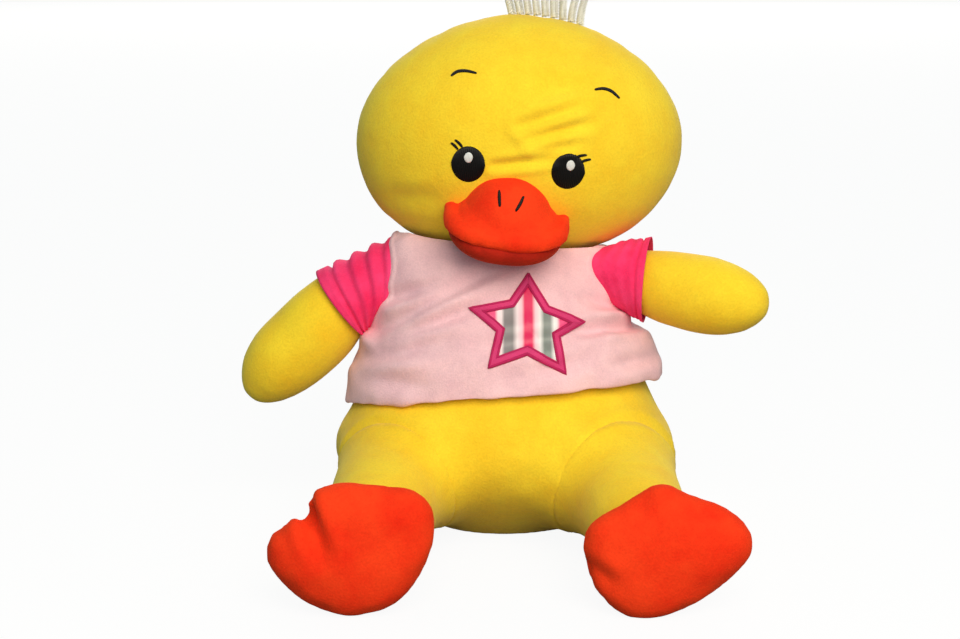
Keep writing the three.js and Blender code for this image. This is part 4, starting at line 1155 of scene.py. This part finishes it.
for side in ("left", "right"):
    hip = Vector(joints[f"{side}_hip"]["pos_m"])
    ankle = Vector(joints[f"{side}_ankle"]["pos_m"])
    run = (ankle - hip).normalized()
    leg_bm = turned(LEG_OUTLINE, LEG_ROUND)
    stand = Matrix.Translation(hip) @ Vector((0, 0, 1)).rotation_difference(run).to_matrix().to_4x4()
    bmesh.ops.transform(leg_bm, matrix=stand, verts=leg_bm.verts)
    leg = stuffed(f"leg_{side}", leg_bm, FINE_CLOTH, BAG_PRESSURE, LEG_SWELL)
    leg_skin, body_skin = skin_of(leg), skin_of(body)
    drawn_out(leg, body_skin, HIP_HOLLOW[side])
    drawn_out(body, leg_skin, HIP_HOLLOW[side])
    for v in leg.data.vertices:
        v.co.z = max(v.co.z, LEG_LOWEST)
    for v in body.data.vertices:
        v.co.z = max(v.co.z, BODY_LOWEST)
    leg.data.materials.append(yellow_plush)
    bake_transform(leg)
    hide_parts(f"{side}_leg_skin", f"{side}_leg_stuffing")

# Feet
# Flat webbed pads of orange-red plush, an upper and a sole panel sewn round the edge and stuffed until they
# puff up. The right foot has a notch between two toes. They tip back and stand on their lower edge.
FOOT_HALF = (0.058, 0.047)
FOOT_TIP_BACK = math.radians(8)
FOOT_MIDDLE = {"left": Vector((0.012, -0.034, -0.0052)), "right": Vector((-0.012, -0.034, -0.0033))}
FOOT_OUTLINES = {
    "right": (
        (-0.98, -0.09), (-0.93, 0.19), (-0.66, 0.37), (-0.47, 0.44), (-0.49, 0.70), (-0.16, 0.96),
        (0.36, 0.91), (0.79, 0.83), (1.02, 0.49), (0.93, -0.21), (0.59, -0.81), (0.03, -1.02),
        (-0.50, -0.83), (-0.90, -0.38),
    ),
    "left": (
        (-0.98, 0.09), (-0.91, 0.40), (-0.50, 0.72), (-0.07, 1.00), (0.26, 0.83), (0.79, 0.55), (1.02, 0.11),
        (0.79, -0.40), (0.16, -0.91), (-0.50, -0.98), (-0.90, -0.43),
    ),
}
FOOT_CROWN = 0.0175
FOOT_ROUND = 0.027
FOOT_CLOTH = 0.0040
FOOT_PRESSURE = 5.0
FOOT_SEAM = 0.0022
FOOT_SWELL = 0.003
FOOT_LUMPS = (0.0010, 34)
FOOT_LOWEST = 0.0003
TOE_VALLEYS = {
    "right": (((-0.030, 0.030), (-0.016, -0.004), 0.0060, 0.0060),),
    "left": (((-0.054, -0.010), (-0.036, -0.022), 0.0060, 0.0030),),
}


def toe_valley(local, side):
    """How far the upper panel sinks between two toes."""
    if local.y >= 0:
        return 0.0
    flat = Vector((local.x, local.z))
    return sum(depth * fold(flat, a, b, width) for a, b, width, depth in TOE_VALLEYS[side])


def pillow(outline, reach, crown):
    """Two panels cut to one outline and sewn round it, each rising to crown at reach from the seam."""
    cut = bmesh.new()
    cut.faces.new([cut.verts.new(point) for point in outline])
    panel = BVHTree.FromBMesh(cut)
    cut.free()
    seam = KDTree(len(outline))
    for i, point in enumerate(outline):
        seam.insert(point, i)
    seam.balance()
    bm = bmesh.new()
    bmesh.ops.create_grid(bm, x_segments=60, y_segments=60, size=1.1 * FOOT_HALF[0])
    bmesh.ops.rotate(bm, verts=bm.verts, cent=(0, 0, 0), matrix=Matrix.Rotation(math.pi / 2, 3, "X"))
    outside = [v for v in bm.verts if not panel.ray_cast(v.co - Vector((0, 1, 0)), Vector((0, 1, 0)))[0]]
    bmesh.ops.delete(bm, geom=outside, context="VERTS")
    for v in bm.verts:
        nearest, _, away = seam.find(v.co)
        if v.is_boundary:
            v.co = nearest
        else:
            v.co.y = -crown * math.sqrt(1 - (1 - min(1.0, away / reach)) ** 2)
    bmesh.ops.mirror(bm, geom=bm.verts[:] + bm.edges[:] + bm.faces[:], axis="Y", merge_dist=1e-5)
    bmesh.ops.recalc_face_normals(bm, faces=bm.faces)
    return bm


for side, outline in FOOT_OUTLINES.items():
    edge = smooth_line([(x * FOOT_HALF[0], 0, z * FOOT_HALF[1]) for x, z in outline], 16, closed=True)
    foot_bm = pillow(edge, FOOT_ROUND, FOOT_CROWN)
    ankle = Vector(joints[f"{side}_ankle"]["pos_m"])
    foot_frame = Matrix.Translation(ankle) @ Matrix.Rotation(-FOOT_TIP_BACK, 4, "X")
    foot_frame = foot_frame @ Matrix.Translation(FOOT_MIDDLE[side])
    bmesh.ops.transform(foot_bm, matrix=foot_frame, verts=foot_bm.verts)
    to_foot = foot_frame.inverted()
    foot = stuffed(
        f"foot_{side}", foot_bm, FOOT_CLOTH, FOOT_PRESSURE, FOOT_SWELL,
        lambda place: abs((to_foot @ place).y) < FOOT_SEAM,
    )
    press(foot, lambda place: lumps(place, *FOOT_LUMPS) - toe_valley(to_foot @ place, side))
    for v in foot.data.vertices:
        v.co.z = max(v.co.z, FOOT_LOWEST)
    foot.data.materials.append(orange_plush)
    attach(foot, f"{side}_foot")
    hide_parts(f"{side}_foot_upper", f"{side}_foot_sole", f"{side}_foot_stuffing")
